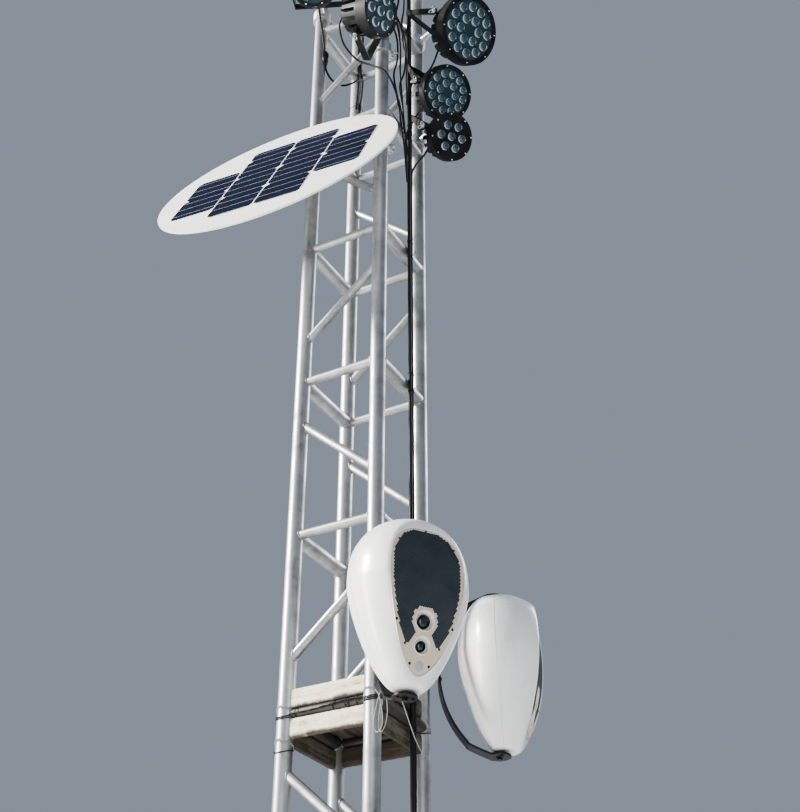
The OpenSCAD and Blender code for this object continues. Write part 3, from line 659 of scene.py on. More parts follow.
def holed_sheet(outline, holes, fill, keep, lift, thick):
    """Flat sheet with holes, cut by a constrained triangulation and bent by a lift function."""
    points, edges = [], []
    for loop in [outline] + holes:
        base = len(points)
        points += loop
        edges += [(base + i, base + (i + 1) % len(loop)) for i in range(len(loop))]
    flat, _, faces, *_ = delaunay_2d_cdt([Vector(p) for p in points + fill], edges, [], 0, 1e-5)
    flat = [(v[0], v[1]) for v in flat]
    kept = [list(f) for f in faces if keep(sum(flat[i][0] for i in f) / 3, sum(flat[i][1] for i in f) / 3)]
    used = sorted({i for f in kept for i in f})
    index = {v: i for i, v in enumerate(used)}
    kept = [[index[i] for i in f] for f in kept]
    n = len(used)
    verts = [(lift(*flat[v]) - down, *flat[v]) for down in (0.0, thick) for v in used]
    seen = dict.fromkeys((a, b) for f in kept for a, b in zip(f, f[1:] + f[:1]))
    walls = [[b, a, a + n, b + n] for a, b in seen if (b, a) not in seen]
    return verts, kept + [[i + n for i in reversed(f)] for f in kept] + walls


HOLE_PITCH, HOLE_R = 5.2, 2.62


def pod_face_meshes():
    """The face sheet with its hexagonal holes, the backing behind it, and the sheet's faces that are dark webs."""
    theta, rim = outline_loop(FACE, -0.6, 220)
    outline = [(float(r * sin(t)), float(CORE[2] + r * cos(t))) for t, r in zip(theta, rim)]
    centres, border = [], set()
    for k in range(-60, 60):
        z = k * (HOLE_PITCH * sqrt(3) / 2)
        for j in range(-40, 40):
            y = (j + (0.5 if k % 2 else 0.0)) * HOLE_PITCH
            if -240 < z < 130 and grille_open(y, z):
                centres.append((y, z))
    for y, z in centres:
        for a in (pi * i / 3 for i in range(6)):
            b = (round(y + HOLE_PITCH * cos(a), 3), round(z + HOLE_PITCH * sin(a), 3))
            if not grille_open(*b):
                border.add(b)
    hexes = [[(y + HOLE_R * sin(pi * i / 3), z + HOLE_R * cos(pi * i / 3)) for i in range(6)]
             for y, z in centres + sorted(border)]
    lens_loops = [circle_loop(0, z, r) for z, r in POD_LENSES]

    def in_face(y, z, margin=0.0):
        return abs(y) < half_width(z, FACE) - margin

    def off_lenses(y, z, more):
        return all(hypot(y, z - c) > r + more for c, r in POD_LENSES)

    def clear_of_lenses(y, z):
        return all(hypot(y, z - c) > r * 0.97 for c, r in POD_LENSES) and in_face(y, z)

    fill = [(y, z) for y in range(-90, 91, 9) for z in range(-228, 122, 9)
            if in_face(y, z, 7) and not any(grille_open(y + a, z + b) for a in (-5, 0, 5) for b in (-5, 0, 5))
            and off_lenses(y, z, 4)]
    coarse = [(y, z) for y in range(-90, 91, 15) for z in range(-225, 122, 15)
              if in_face(y, z, 8) and off_lenses(y, z, 4)]
    near_by = {}  # hole centres by squares of 6 mm
    for c in centres:
        near_by.setdefault((round(c[0] / 6), round(c[1] / 6)), []).append(c)

    def solid(y, z):
        by, bz = round(y / 6), round(z / 6)
        return clear_of_lenses(y, z) and not any(
            hypot(c[0] - y, c[1] - z) < 2.05
            for a in (-1, 0, 1) for b in (-1, 0, 1) for c in near_by.get((by + a, bz + b), ()))

    sheet = holed_sheet(outline, hexes + lens_loops, fill, solid, lambda y, z: front_at(z) - 1.8, 1.1)
    backing = holed_sheet(outline, lens_loops, coarse, clear_of_lenses, lambda y, z: front_at(z) - 3.8, 0.8)
    dark, holes, edge = set(), np.array(centres), np.array(sorted(border))
    for i, f in enumerate(sheet[1]):
        y, z = (sum(sheet[0][v][k] for v in f) / len(f) for k in (1, 2))
        if (np.hypot(holes[:, 0] - y, holes[:, 1] - z).min() < 3.4
                and np.hypot(edge[:, 0] - y, edge[:, 1] - z).min() > HOLE_R * 0.84):
            dark.add(i)
    return sheet, backing, dark


def yoke_axis(pod, z):
    """Where a pod's swivel axis stands, at a height."""
    (x, y), az = PODS[pod][0], radians(PODS[pod][1])
    return moved(x + POD_REACH * cos(az), y + POD_REACH * sin(az), z)


def seam_points(side):
    """Line over one side of the shell at its widest section, from crown to foot."""
    angles = np.linspace(0.06, pi - 0.06, 70)
    d = np.stack([np.zeros_like(angles), side * np.sin(angles), np.cos(angles)], -1)
    core = np.array([AHEAD, *CORE[1:]])
    return [tuple(float(c) for c in v) for v in core + cast(d, sides_depth, core, 400.0)[:, None] * d]


def on_face(shape, y, z, lift=-1.8):
    """Sets a small turned part on the curved face, sheared to its slope."""
    verts, faces = shape
    return [(x + lift + front_at(z + c), y + b, z + c) for x, b, c in verts], faces


SHELL_MESH = pod_shell_mesh()
SHEET_MESH, BACKING_MESH, DARK_WEBS = pod_face_meshes()
for pod in PODS:
    m = yoke_axis(pod, POD_Z) @ turned(PODS[pod][2], "Z") @ moved(POD_SET, 0, POD_LIFT) @ turned(-POD_LEAN, "Y")
    Piece().add(SHELL_MESH, m).build(pod + "_smooth_shell", MAT_SHELL, pod, "white_shell", [pod + "_shell"], 40)
    Piece().add(SHEET_MESH, m).build(pod + "_face_sheet", MAT_CREAM, pod, "cream_panel", [pod + "_sensor_panel"], 30,
                                     second=(MAT_WEB, DARK_WEBS))
    Piece().add(BACKING_MESH, m).build(pod + "_backing", MAT_BACKING, pod, "grille", [pod + "_grille"], 30)
    cups, barrels, glass, seam, screws = (Piece() for _ in range(5))
    for z, r in POD_LENSES:
        cup = [(-1.4, r + 0.2), (0.25, r + 0.2), (0.7, r - 0.4), (0.7, r - 1.4), (0.1, r - 2.0), (-3.0, r - 3.0),
               (-12.5, r * 0.74), (-12.5, r * 0.5), (-14.5, r * 0.5), (-14.5, r + 0.1)]
        cups.add(on_face(lathe(cup, 64, False, False), 0, z), m)
        b = r * (0.63 if r > 23 else 0.56)
        barrel = [(-14.4, b), (-6.4, b), (-5.6, b - 0.7), (-5.6, b - 1.8), (-6.4, b - 2.4), (-9.6, b * 0.7),
                  (-14.4, b * 0.7)]
        barrels.add(on_face(lathe(barrel, 56, False, False), 0, z), m)
        dome = [(-14.0, b * 0.72)]
        dome += [(-9.8 + 3.4 * cos(a), b * 0.74 * sin(a)) for a in np.linspace(pi / 2, 0.02, 10)]
        glass.add(on_face(lathe(dome, 48), 0, z), m)
    cups.build(pod + "_lens_cups", MAT_CUP, pod, "cream_panel", (), 30)
    barrels.build(pod + "_lens_barrels", MAT_BEZEL, pod, "dark_lens", (), 30)
    glass.build(pod + "_lens_glass", MAT_DARK_GLASS, pod, "dark_lens", [pod + "_lenses"], 50)
    for side in (-1, 1):
        seam.add(tube(seam_points(side), 0.45, 6), m)
    seam.build(pod + "_seam", MAT_SEAM, pod, "white_shell", (), 60)
    screw = lathe([(-0.6, 3.2), (0.5, 3.2), (0.9, 2.5), (0.9, 1.5), (0.2, 1.4), (0.2, 0.01)], 18, False)
    for y, z in ((-72.0, -118.0), (72.0, -118.0), (-24.5, -207.0), (24.5, -207.0)):
        screws.add(on_face(screw, y, z), m)
    screws.build(pod + "_face_screws", MAT_BEZEL, pod, "black_casting", (), 30)
    disc = on_face(lathe([(-0.4, 11.4), (0.35, 11.4), (0.6, 10.9), (0.6, 0.01)], 40, False), 0, -209.0)
    Piece().add(disc, m).build(pod + "_window", MAT_WINDOW, pod, "dark_lens", (), 30)

# ---- timber collar
PLANK_H, PLANK_T, PLANK_L, PLANK_OUT = 50.0, 20.0, 254.0 - 2 * 9.7, HALF + 11.0
PLANK_CELLS = (48, 5, 8)


def plank(level, seed):
    """One worn plank: a grid of quads with soft edges, notched round the chords as the CAD is."""
    bow = random.Random(seed).uniform(-1.2, 1.2)
    verts, faces, index = [], [], {}

    def point(cell):
        if cell in index:
            return index[cell]
        u, v, w = (c / n for c, n in zip(cell, PLANK_CELLS))
        edge_v, edge_w = abs(2 * v - 1), abs(2 * w - 1)
        corner = max(0.0, edge_v - 0.5) * max(0.0, edge_w - 0.7) * 8.0
        chip = 0.5 * sin(37 * u + 9 * seed) * sin(91 * u + seed) if edge_w > 0.99 else 0.0
        x = (u - 0.5) * PLANK_L
        y = -PLANK_OUT + v * PLANK_T + (1.6 if v < 0.5 else -1.6) * corner
        z = (w - 0.5) * PLANK_H + (1.6 if w < 0.5 else -1.6) * corner + chip + bow * sin(pi * u) * 0.6
        if abs(2 * u - 1) > 0.999:
            x -= copysign(1.4 * corner, x)
        notch_r = CHORD_R + 0.4
        reach = HALF - sqrt(max(0.0, notch_r ** 2 - min(notch_r, abs(y + HALF)) ** 2))
        index[cell] = len(verts)
        verts.append((max(-reach, min(reach, x)), y, z + level))
        return index[cell]

    for across, one, two in ((0, 1, 2), (1, 0, 2), (2, 0, 1)):
        for a in range(PLANK_CELLS[one]):
            for b in range(PLANK_CELLS[two]):
                for end in (0, PLANK_CELLS[across]):
                    quad = []
                    for da, db in ((0, 0), (1, 0), (1, 1), (0, 1)):
                        cell = {across: end, one: a + da, two: b + db}
                        quad.append(point((cell[0], cell[1], cell[2])))
                    faces.append(quad)
    return verts, faces


for side, turn, rung_d, wood in (("front", 0, 25.4, MAT_WOOD_X), ("back", 180, 25.4, MAT_WOOD_BACK),
                                 ("left", -90, 42.0, MAT_WOOD_Y), ("right", 90, 42.0, MAT_WOOD_Y)):
    both = Piece()
    for place in (-1, 1):
        level = COLLAR_Z + place * (rung_d + PLANK_H + 1.0) / 2
        both.add(plank(level, 7 + turn + 3 * place), turned(turn, "Z"))
    both.build("collar_%s_worn" % side, wood, "mast", "timber", ["collar_%s_planks" % side], 50)

# Deck of rough boards that lie on the front and back rungs inside the collar
DECK_W, DECK_T, DECK_GAP, DECK_HALF, DECK_Z, DECK_ROWS = 39.6, 16.0, 1.9, 117.2, COLLAR_Z + 8.2, 25
deck = Piece()
for i in range(5):
    x0, cut = (i - 2) * (DECK_W + DECK_GAP), RND.uniform(0.0, 2.0)
    rows = []
    for j in range(DECK_ROWS):
        y = -DECK_HALF + (2 * DECK_HALF - cut) * j / (DECK_ROWS - 1)
        sway = 0.5 * sin(5.0 * y / DECK_HALF + i)
        lift = 0.35 * (1 + sin(3.0 * y / DECK_HALF + 2 * i)) * (1 - (y / DECK_HALF) ** 4)
        w, t = DECK_W / 2, DECK_T
        for x, z in ((1 - w, 0), (w - 1, 0), (w, 1), (w, t - 1), (w - 1, t), (1 - w, t), (-w, t - 1), (-w, 1)):
            rows.append((x0 + x + sway, y, DECK_Z + z + lift))
    deck.add((rows, ring_faces(DECK_ROWS, 8) + end_caps(DECK_ROWS, 8)))
# painted shade: the deck's timber is a darkened copy, for the shade inside the collar
deck.build("collar_deck", MAT_DECK, "mast", "timber", (), 40)

# ---- welds
WELD_SIDES = 36


def weld(piece, chord, z, axis, radius):
    """Bead where a round bar leaves a chord: the first meeting of each of its lines with the tube."""
    axis = Vector(axis).normalized()
    one = axis.orthogonal().normalized()
    two = axis.cross(one)
    line = []
    for i in range(WELD_SIDES):
        a = 2 * pi * i / WELD_SIDES
        start = Vector((*chord, z)) + radius * (cos(a) * one + sin(a) * two)
        ox, oy = start.x - chord[0], start.y - chord[1]
        qa, qb = axis.x ** 2 + axis.y ** 2, 2 * (ox * axis.x + oy * axis.y)
        qc = ox * ox + oy * oy - CHORD_R ** 2
        line.append(start + (-qb + sqrt(max(0.0, qb * qb - 4 * qa * qc))) / (2 * qa) * axis)
    wave = RND.uniform(0, 6.28)
    radii = [2.3 + 0.35 * sin(9 * 2 * pi * i / WELD_SIDES + wave) + RND.uniform(-0.15, 0.15)
             for i in range(WELD_SIDES)]
    piece.add(tube(line, radii, 6, closed=True))


def level_z(k):
    return BASE_T + END_INSET if k == 0 else MAST_TOP - END_INSET if k == BAYS else BASE_T + k * BAY


for a, b, side, r in ((LEFT_FRONT, RIGHT_FRONT, "front", RUNG_R), (LEFT_BACK, RIGHT_BACK, "back", RUNG_R),
                      (LEFT_FRONT, LEFT_BACK, "left", SIDE_R), (RIGHT_FRONT, RIGHT_BACK, "right", SIDE_R)):
    beads, dx, dy = Piece(), b[0] - a[0], b[1] - a[1]
    for k in range(BAYS + 1):
        weld(beads, a, level_z(k), (dx, dy, 0), r)
        weld(beads, b, level_z(k), (-dx, -dy, 0), r)
    for k in range(BAYS if dx else 0):  # diagonals, in front and back only
        low, high = BASE_T + (k + 0.28) * BAY, BASE_T + (k + 0.72) * BAY
        za, zb = (low, high) if k % 2 == 0 else (high, low)
        weld(beads, a, za, (dx, 0, zb - za), r)
        weld(beads, b, zb, (-dx, 0, za - zb), r)
    beads.build("welds_" + side, MAT_WELD, "mast", "tube", (), 60)


# ---- floodlights
def lamp_head(p):
    """Frame of a lamp's housing: X along its beam, Y along its tilt axis."""
    a, q, e = radians(p.az), radians(p.beam_az), radians(p.dip)
    bolt = Vector((cos(a), sin(a), 0))
    beam = Vector((cos(e) * cos(q), cos(e) * sin(q), -sin(e)))
    tilt = bolt.cross(beam).normalized()
    origin = Vector((*p.chord, BASE_T + p.level * BAY))
    return framed(origin + bolt * p.reach - bolt.cross(tilt) * p.drop, beam, tilt, beam.cross(tilt))


LENS_H, PLATE_IN = 7.5, 1.4
# Rings of (how many, part of the radius), size of the lenses, and turn of the whole pattern
SEVEN, EIGHTEEN = ((1, 0.0), (6, 0.57)), ((6, 0.335), (12, 0.67))
LENSES = {1: (SEVEN, 0.18, 0), 2: (SEVEN, 0.185, 0), 3: (EIGHTEEN, 0.128, 18), 4: (EIGHTEEN, 0.128, 3),
          5: (((1, 0.0), (6, 0.51)), 0.165, 13)}

for number, p in LAMPS.items():
    body = "floodlight_%d" % number
    head = lamp_head(p)
    rings, size, turn = LENSES[number]
    angles = [(p.r * part, 2 * pi * i / count + radians(turn)) for count, part in rings for i in range(count)]
    places, lens_r = [(reach * cos(a), reach * sin(a)) for reach, a in angles], p.r * size
    face_r = p.r * 0.86 - 0.4

    def on_plate(y, z):
        return hypot(y, z) < face_r and all(hypot(y - a, z - b) > lens_r * 0.97 for a, b in places)

    plate = holed_sheet(circle_loop(0, 0, face_r, 90), [circle_loop(y, z, lens_r, 28) for y, z in places], [],
                        on_plate, lambda y, z: p.length / 2 - PLATE_IN, 1.0)
    Piece().add(plate, head).build(body + "_lens_plate", MAT_CASTING if number == 5 else MAT_LAMP_PLATE, body, "lens",
                                   [body + "_lenses"], 30)
    cup = lathe([(-0.3, lens_r + 0.8), (0.4, lens_r + 0.7), (LENS_H - 1.6, lens_r - 0.3), (LENS_H - 1.6, 0.01)],
                36, False)
    dome = [(LENS_H - 1.7, lens_r - 0.5), (LENS_H - 1.0, lens_r - 0.35), (LENS_H - 0.4, lens_r - 0.9),
            (LENS_H - 0.3, lens_r - 2.0), (LENS_H - 1.0, lens_r - 2.8)]
    dome += [(LENS_H - 1.0 + 3.0 * cos(a), (lens_r - 3.2) * sin(a)) for a in np.linspace(1.4, 0.03, 8)]
    dome = lathe(dome, 36, False)
    screw = lathe([(-0.5, 2.9), (1.4, 2.7), (1.9, 2.0), (1.9, 1.2), (1.0, 1.1), (1.0, 0.01)], 14, False)
    cups, domes, screws = Piece(), Piece(), Piece()
    for y, z in places:
        at = head @ moved(p.length / 2 - PLATE_IN, y, z)
        cups.add(cup, at)
        domes.add(dome, at)
    cups.build(body + "_cups", MAT_LENS_WALL, body, "lens", (), 40)
    domes.build(body + "_domes", MAT_LED, body, "lens", (), 50)
    for a in (2 * pi * (i + 0.5) / 8 for i in range(8)):
        screws.add(screw, head @ moved(p.length / 2, p.r * 0.935 * cos(a), p.r * 0.935 * sin(a)))
    screws.build(body + "_bezel_screws", MAT_BOLT, body, "cast_clamp", (), 30)

# ---- pod yokes
HALF_T, CHAMFER = STRAP_T / 2, 1.2
STRAP_TOP, STRAP_LOW = YOKE_H / 2 - HALF_T, HALF_T - YOKE_H / 2 + TAB_RAISE


def strap_mesh():
    """Strap swept from the upper tab round the back to the lower one, in the yoke's own frame."""
    centre, mid_r, top, low = YOKE_R - POD_REACH + YOKE_STAND, YOKE_R - HALF_T, STRAP_TOP, STRAP_LOW
    line = [(TAB_R - 0.5, top), (20, top), (5, top), (-12, top), (-26, top - 1.5)]
    line += [(centre - mid_r * cos(a), mid_r * sin(a))
             for a in np.linspace(asin((top - 24) / mid_r), asin((low + 24) / mid_r), 44)]
    line += [(-26, low + 1.5), (-12, low), (5, low), (20, low), (TAB_R - 0.5, low)]
    line = [(v.x, v.z) for v in smooth_path([(x, 0, z) for x, z in line], 3)]
    rows = []
    for i, (x, z) in enumerate(line):
        a, b = line[max(i - 1, 0)], line[min(i + 1, len(line) - 1)]
        n = Vector((0, 1, 0)).cross(Vector((b[0] - a[0], 0, b[1] - a[1])).normalized())
        flat = min(abs(z - top), abs(z - low)) < 4
        round_w = sqrt(max(0.0, TAB_R ** 2 - x * x)) if flat and x > -22.5 else 0.0
        w = max(round_w, 4.0) if flat and x > 22.5 else max(STRAP_W / 2, round_w)
        h, inner_w, inner_h = HALF_T, w - CHAMFER, HALF_T - CHAMFER
        for y, q in ((-inner_w, h), (inner_w, h), (w, inner_h), (w, -inner_h), (inner_w, -h), (-inner_w, -h),
                     (-w, -inner_h), (-w, inner_h)):
            rows.append(tuple(Vector((x, y, z)) + q * n))
    return rows, ring_faces(len(line), 8) + end_caps(len(line), 8)


STRAP = strap_mesh()
for pod, (chord, yoke_az, _) in PODS.items():
    at = yoke_axis(pod, POD_Z + YOKE_MID) @ turned(yoke_az, "Z")
    yoke, bolts = Piece().add(STRAP, at), Piece()
    for tab, way, end in ((STRAP_TOP, 1, POD_UP), (STRAP_LOW, -1, -POD_DOWN)):
        gap = abs(end + POD_LIFT - YOKE_MID - tab) - HALF_T
        pivot = lathe([(-0.4, 17), (gap * 0.5, 17), (gap - 0.3, 16), (gap - 0.3, 8), (gap + 9, 8)])
        yoke.add(pivot, at @ moved(0, 0, tab - way * HALF_T) @ turned(90 * way, "Y"))
        outer = moved(0, 0, tab + way * HALF_T) @ turned(-90 * way, "Y")
        bolts.add(hex_bolt(8.0, 7.0, 11.0), at @ outer)
        for y in (-19.0, 19.0):
            bolts.add(hex_bolt(3.6, 3.4, 5.0), at @ moved(4, y, 0) @ outer)
    yoke.build(pod + "_bent_yoke", MAT_BLACK, "mast", "black_steel", [pod + "_yoke"], 35)
    for z in (-11.0, 11.0):
        bolts.add(hex_bolt(5.0, 4.5, 7.5), at @ moved(YOKE_STAND - POD_REACH + STRAP_T, 0, z))
    bolts.build(pod + "_yoke_bolts", MAT_BEZEL, "mast", "black_steel", (), 30)


# ---- bolts of the clamps, lamps and base
def wing_nut():
    """Boss with two upright ears, along X from the surface outward."""
    shapes = [lathe([(0, 8.0), (1.4, 8.0), (1.4, 6.5), (6.0, 5.2), (9.0, 4.6), (9.0, 0.01)], 24)]
    for side in (-1, 1):
        loop = [(4 + 7.5 * (1 - cos(t)) * 0.75, side * (5.5 + 5.5 * sin(t) + 4 * (1 - cos(t)) / 2), 0)
                for t in around(18)]
        shapes.append(tube(loop, 1.7, closed=True))
    return join(*shapes)


CLAMP_EAR, EAR_HALF, PIVOT_OUT, ANCHOR = 37.5, 9, 10.0, 250
fasteners, pins, anchors = Piece(), Piece(), Piece()
clamps = [(chord, POD_Z + YOKE_MID, az, False) for chord, az, _ in PODS.values()]
clamps += [(p.chord, BASE_T + p.level * BAY, p.az, True) for p in LAMPS.values()]
clamps.append((RIGHT_FRONT, BOARD_AT[2] + 200.0, BOARD_TURN - 90, False))
for chord, z, az, winged in clamps:
    a = radians(az + 150)
    out, across = Vector((cos(a), sin(a), 0)), Vector((-sin(a), cos(a), 0))
    middle = Vector((*chord, z)) + CLAMP_EAR * out
    near = middle - EAR_HALF * across
    fasteners.add(hex_bolt(6.5, 5.5, 8.2), aim(middle + EAR_HALF * across, across))
    fasteners.add(wing_nut() if winged else hex_bolt(6.5, 6.5, 8.2), aim(near, -across))
    fasteners.add(lathe([(0, 3.9), (5, 3.9), (6, 3.2)], 16), aim(near - (9 if winged else 6) * across, -across))
fasteners.build("clamp_bolts", MAT_BOLT, "mast", "cast_clamp", (), 30)
for p in LAMPS.values():
    head = lamp_head(p)
    tilt = head.to_3x3() @ Vector((0, 1, 0))
    for side in (-1, 1):
        pins.add(hex_bolt(6.8, 5.5, 10.5) if side > 0 else wing_nut(),
                 aim(head.translation + side * tilt * (p.r + PIVOT_OUT), side * tilt, 0.6))
pins.build("lamp_pivot_bolts", MAT_BOLT, "mast", "cast_clamp", (), 30)
thread = [(-8, 9.6)] + [(20 + i * 1.25, 10.0 - 0.8 * (i % 2)) for i in range(18)] + [(43.5, 8.2)]
for x in (-ANCHOR, ANCHOR):
    for y in (-ANCHOR, ANCHOR):
        up = moved(x, y, BASE_T) @ turned(-90, "Y")
        anchors.add(lathe([(0, 22), (3, 22), (3, 10)], 32, True, False), up)
        anchors.add(hex_bolt(17.0, 19.0, 20.0), up @ moved(3, 0, 0))
        anchors.add(lathe(thread, 24), up)
anchors.build("anchor_nuts", MAT_BOLT, "mast", "cast_clamp", (), 30)

# ---- leads, ties and lashings
CORD_D = 7.0


def lead(name, points, joined=0, body="mast", material=MAT_CABLE, d=CORD_D):
    """A hanging cord. One with a point number joined, such as one that leaves a lamp, is taken off its body and kept
    where it hangs.
    """
    line = smooth_path(points, 5)
    obj = Piece().add(tube(line, d / 2, 10)).build(name, material, body, "cable", (), 60)
    if joined:
        obj.parent = None
        obj.matrix_world = Matrix.Identity(4)
        del obj["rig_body"]
        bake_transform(obj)


# For each lamp, the number of the point where its lead is fixed to the mast, and the points after its gland
LAMP_LEADS = {
    2: (14, [(40, -268, 5395), (36, -230, 5350), (62, -186, 5305), (105, -166, 5275), (146, -158, 5240),
             (164, -130, 5205), (166, -90, 5165), (160, -45, 5115), (155, -14, 5060), (154, 1.5, 5000)]),
    3: (12, [(246, 96, 5588), (226, 100, 5540), (205, 94, 5470), (182, 74, 5410), (163, 48, 5372),
             (154.5, 30, 5335), (154, 28.5, 5290)]),
    4: (12, [(172, 106, 5316), (163, 92, 5272), (160, 66, 5225), (156, 44, 5180), (154, 30.5, 5135),
             (154, 30, 5090)]),
    5: (12, [(192, 98, 5096), (176, 90, 5052), (164, 68, 5004), (156, 45, 4958), (154, 32.5, 4915),
             (154, 32, 4870)]),
    1: (12, [(-92, -205, 5662), (-104, -172, 5615), (-106, -150, 5560), (-105, -141, 5520), (-104, -132, 5480)]),
}
for number, (joined, points) in LAMP_LEADS.items():
    body, head = "floodlight_%d" % number, lamp_head(LAMPS[number])
    beam = head.to_3x3() @ Vector((1, 0, 0))
    place = head.translation - beam * (LAMPS[number].length / 2 - 2.0)
    gland = lathe([(0, 11), (2.5, 11), (3, 9), (12, 8.5), (14, 7), (26, 4.6), (26, 2)], 24)
    Piece().add(gland, aim(place, -beam)).build(body + "_gland", MAT_BEZEL, body, "black_casting", (), 35)
    lead(body + "_lead", [tuple(place - beam * 25), tuple(place - beam * 42)] + points, joined, body)

lead("connector_loop", [(-103, -128, 5428), (-101, -122, 5398), (-88, -104, 5362), (-66, -74, 5352), (-46, -46, 5376),
     (-36, -14, 5420), (-42, 24, 5462), (-62, 62, 5490), (-84, 92, 5480), (-104.5, 114.5, 5440), (-104.5, 114.5, 5412)])
lead("upper_pair_1", [(-111.8, 106.2, 5900), (-111.8, 106.2, 5880), (-105, 99, 5820), (-108, 101, 5740),
     (-111.8, 106.2, 5640), (-104, 98, 5560), (-107, 101, 5490), (-113.7, 104.9, 5440), (-113.7, 104.9, 5424)])
lead("upper_pair_2", [(-105.3, 113, 5898), (-105.3, 113, 5880), (-94, 108, 5800), (-97, 110, 5710),
     (-105.3, 113, 5640), (-89, 104, 5550), (-95, 110, 5480), (-103.6, 116.1, 5440), (-103.6, 116.1, 5420)])
MAST_LEADS = [
    [(151.3, -118.1, 5915), (151.3, -118.1, 5885), (162, -112, 5830), (160, -96, 5750), (166, -84, 5660),
     (160, -92, 5570), (165, -76, 5480), (160, -58, 5390), (163, -66, 5300), (158, -44, 5210), (156, -28, 5120),
     (154.5, -8, 5040), (154, 0, 4980)],
    [(151.5, -62, 6068), (151.8, -62, 6045), (159, -60, 5980), (156, -60, 5890), (163, -48, 5810), (158, -30, 5730),
     (164, -44, 5640), (166, -60, 5560), (160, -40, 5480), (166, -26, 5400), (158, -14, 5330), (154.5, -3, 5270),
     (154, -2, 5215)],
    [(151.6, -92, 5606), (151.8, -90, 5590), (166, -74, 5540), (172, -46, 5470), (164, -30, 5400), (166, -44, 5320),
     (160, -64, 5240), (164, -50, 5150), (158, -26, 5070), (156, -12, 4990), (154, 0.5, 4920)],
    [(143.7, -146.6, 5655), (143.9, -146.4, 5625), (160, -140, 5560), (158, -106, 5500), (168, -96, 5430),
     (162, -84, 5350), (160, -104, 5260), (164, -92, 5180), (160, -62, 5110), (158, -36, 5030), (155, -10, 4930),
     (154, 1, 4860)],
]
for i, points in enumerate(MAST_LEADS):
    lead("mast_lead_%d" % (i + 1), points, d=CORD_D - 0.6 * (i % 2))


TIE_T = 0.9


def hull_tie(piece, z, circles, lean=0.0):
    """Tie drawn tight round some round things, given as (x, y, radius)."""
    points = [(x + (r + TIE_T) * cos(t), y + (r + TIE_T) * sin(t)) for x, y, r in circles for t in around(32)]
    loop = [points[i] for i in convex_hull_2d([Vector(q) for q in points])]
    piece.add(tube([(x, y, z + lean * (x + y)) for x, y in loop], TIE_T, 6, closed=True))


ties = Piece()
for z in (5888.0, 5640.0):
    hull_tie(ties, z, [(*LEFT_BACK, CHORD_R), (-111.8, 106.2, 3.5), (-105.3, 113.0, 3.5)], 0.02)
hull_tie(ties, 5440.0, [(*LEFT_BACK, CHORD_R), (-113.7, 104.9, 3.5), (-103.6, 116.1, 3.5), (-104.5, 114.5, 3.5)],
         -0.02)
hull_tie(ties, 5896.0, [(*RIGHT_FRONT, CHORD_R), (151.3, -118.1, 3.5)], 0.02)
hull_tie(ties, 5632.0, [(*RIGHT_FRONT, CHORD_R), (143.7, -146.6, 3.2)], -0.03)
CABLE_LOW_Y, CABLE_TOP_Y, TIE_REACH, TIE_R = 50, 12, 5.75, 6.4
for z in (BASE_T + k * BAY + dz for k in range(1, BAYS) for dz in (32.0, -30.0)):
    x, y = CABLE_X, CABLE_LOW_Y + (CABLE_TOP_Y - CABLE_LOW_Y) * (z - BASE_T) / (MAST_TOP - 200 - BASE_T)
    loop = [(x + TIE_R * cos(t), y + TIE_R * sin(t) + copysign(TIE_REACH, sin(t)), z) for t in around(32)]
    ties.add(tube(loop, TIE_T, 6, closed=True))
    ties.add(lathe([(0, 2.6), (3.4, 2.4), (3.8, 1.4)], 10), aim((x + 6.8, y - 3, z), (1, -0.2, 0)))
    ties.add(tube(smooth_path([(x + 9, y - 3, z), (x + 17, y - 7, z + 3), (x + 25, y - 8, z + 9)], 4), 0.8, 6))
ties.build("cable_ties", MAT_CABLE, "mast", "cable", (), 50)

plug, plug_at = Piece(), aim((-104, -132, 5486), (0.01, 0.06, -1))
plug.add(lathe([(0, 4), (3, 8.5), (12, 10), (14, 12.5), (34, 12.5), (36, 11), (50, 10.5), (62, 8), (66, 3.6)], 28),
         plug_at)
for x in (17.0, 22.0, 27.0, 31.0):
    rib = [plug_at @ Vector((x, 12.8 * cos(t), 12.8 * sin(t))) for t in around(24)]
    plug.add(tube(rib, 0.8, 6, closed=True))
plug.build("lead_connector", MAT_BEZEL, "mast", "black_casting", (), 35)


def lashing(chord, z, turns, r, rise, tilt, phase):
    """Wire wound a few times round a chord, a little crossed."""
    line, steps = [], 22 * turns
    for i in range(steps + 1):
        a = phase + 2 * pi * i / 22
        radius = CHORD_R + r + 0.15 + 0.5 * sin(3.1 * a) ** 2
        line.append((chord[0] + radius * cos(a), chord[1] + radius * sin(a), z + rise * i / steps + tilt * sin(a)))
    return tube(line, r, 7)


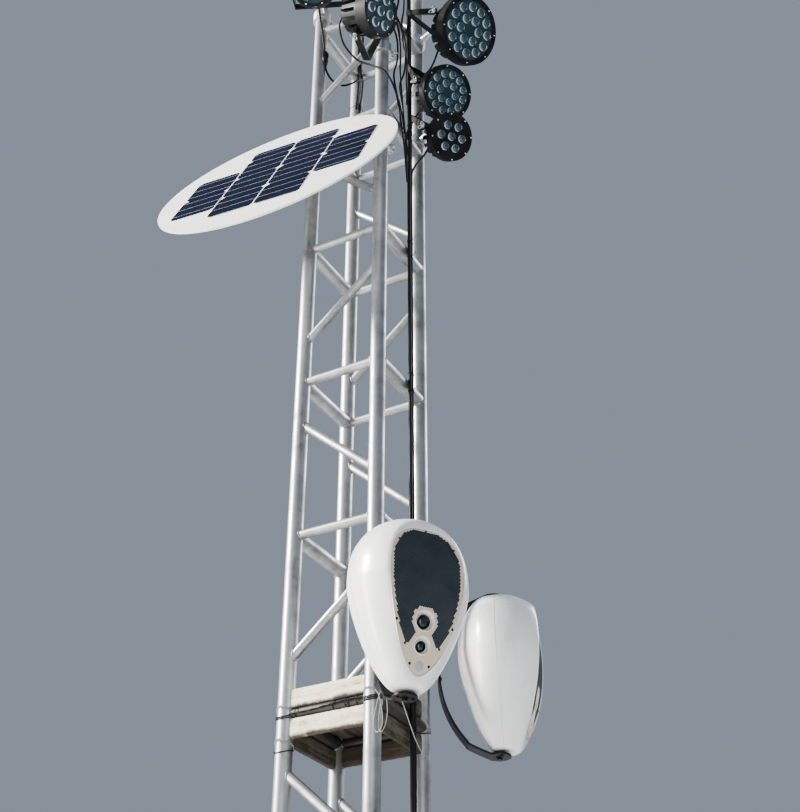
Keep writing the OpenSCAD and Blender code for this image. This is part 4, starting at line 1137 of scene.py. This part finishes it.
dark_lash, pale_lash = Piece(), Piece()
for chord, z, turns in ((RIGHT_FRONT, 3054, 3), (LEFT_FRONT, 3050, 2), (RIGHT_BACK, 3044, 1), (LEFT_FRONT, 2964, 1)):
    dark_lash.add(lashing(chord, z, turns, 1.3, 4.5 * turns, 6, chord[0] * 0.02))
    pale_lash.add(lashing(chord, z + 14, 2, 0.9, 7, -8, 1.0 + chord[1] * 0.02))
for phase in (0.0, pi):
    dark_lash.add(tube([(x, -HALF - RUNG_R - 3.0 + 1.5 * cos(0.11 * x + phase),
                         COLLAR_Z - 1 + 4.5 * sin(0.021 * x) + 1.5 * sin(0.11 * x + phase))
                        for x in range(-107, 108, 3)], 1.4, 7))
for x in (-88, 22, 58, 66, 90):
    dark_lash.add(tube([(x + 2.5 * sin(2 * t), -HALF - RUNG_R * cos(t) * 1.02 - 4.6 * max(0.0, cos(t)),
                         COLLAR_Z + 11.6 * sin(t)) for t in np.linspace(-1.35, 1.35, 15)], 1.2, 6))
dark_lash.build("collar_lashings_dark", MAT_CABLE, "mast", "cable", (), 60)
pale_lash.build("collar_lashings_pale", MAT_WIRE, "mast", "cable", (), 60)
lead("collar_loop", [(143.6, -146.6, 3072), (158, -154, 3056), (168, -156, 3020), (170, -154, 2982), (160, -155, 2962),
     (150, -155, 2966), (147, -157, 2986), (156, -160, 3024), (168, -160, 3060), (178, -154, 3052), (181, -150, 3012),
     (176, -150, 2980), (166, -151, 2962), (158, -150, 2972), (157, -149, 3004), (160, -146, 3034)],
     material=MAT_WIRE, d=2.2)
lead("collar_stay", [(268, -238, 2992), (262, -214, 2984), (246, -160, 2968), (222, -84, 2953), (196, -2, 2950),
     (172, 68, 2964), (156, 106, 2984)], material=MAT_WIRE, d=2.4)

# ---- lights and floor
area_light("key", (-7.5, -5.5, 9.0), (0, 0, 4.0), 1.8, 2900, (1.0, 0.96, 0.9))
area_light("strip", (-6.3, -5.0, 3.6), (0, 0, 4.6), 1.3, 520, (1.0, 0.98, 0.95), 6.5)
area_light("fill", (5.0, -7.0, 3.0), (0, 0, 4.2), 6.0, 170, (0.86, 0.93, 1.0))
area_light("rim", (3.0, 6.0, 8.0), (0, 0, 4.2), 4.0, 300)
world = bpy.data.worlds.new("World")
bpy.context.scene.world = world
world.use_nodes = True
sky = world.node_tree.nodes["Background"].inputs
sky["Color"].default_value, sky["Strength"].default_value = (0.7, 0.8, 0.95, 1), 0.34
bpy.context.scene.view_settings.look = "AgX - Medium High Contrast"

bpy.ops.mesh.primitive_plane_add(size=60, location=(0, 0, -0.001))
floor = bpy.context.object
floor.name = "floor"
floor_look = Looks("pale_floor", Roughness=0.85)
floor.data.materials.append(floor_look.done(
    floor_look.ramp(floor_look.noise(2.0), (0.3, (0.8, 0.8, 0.79)), (0.7, (0.84, 0.84, 0.83)))))
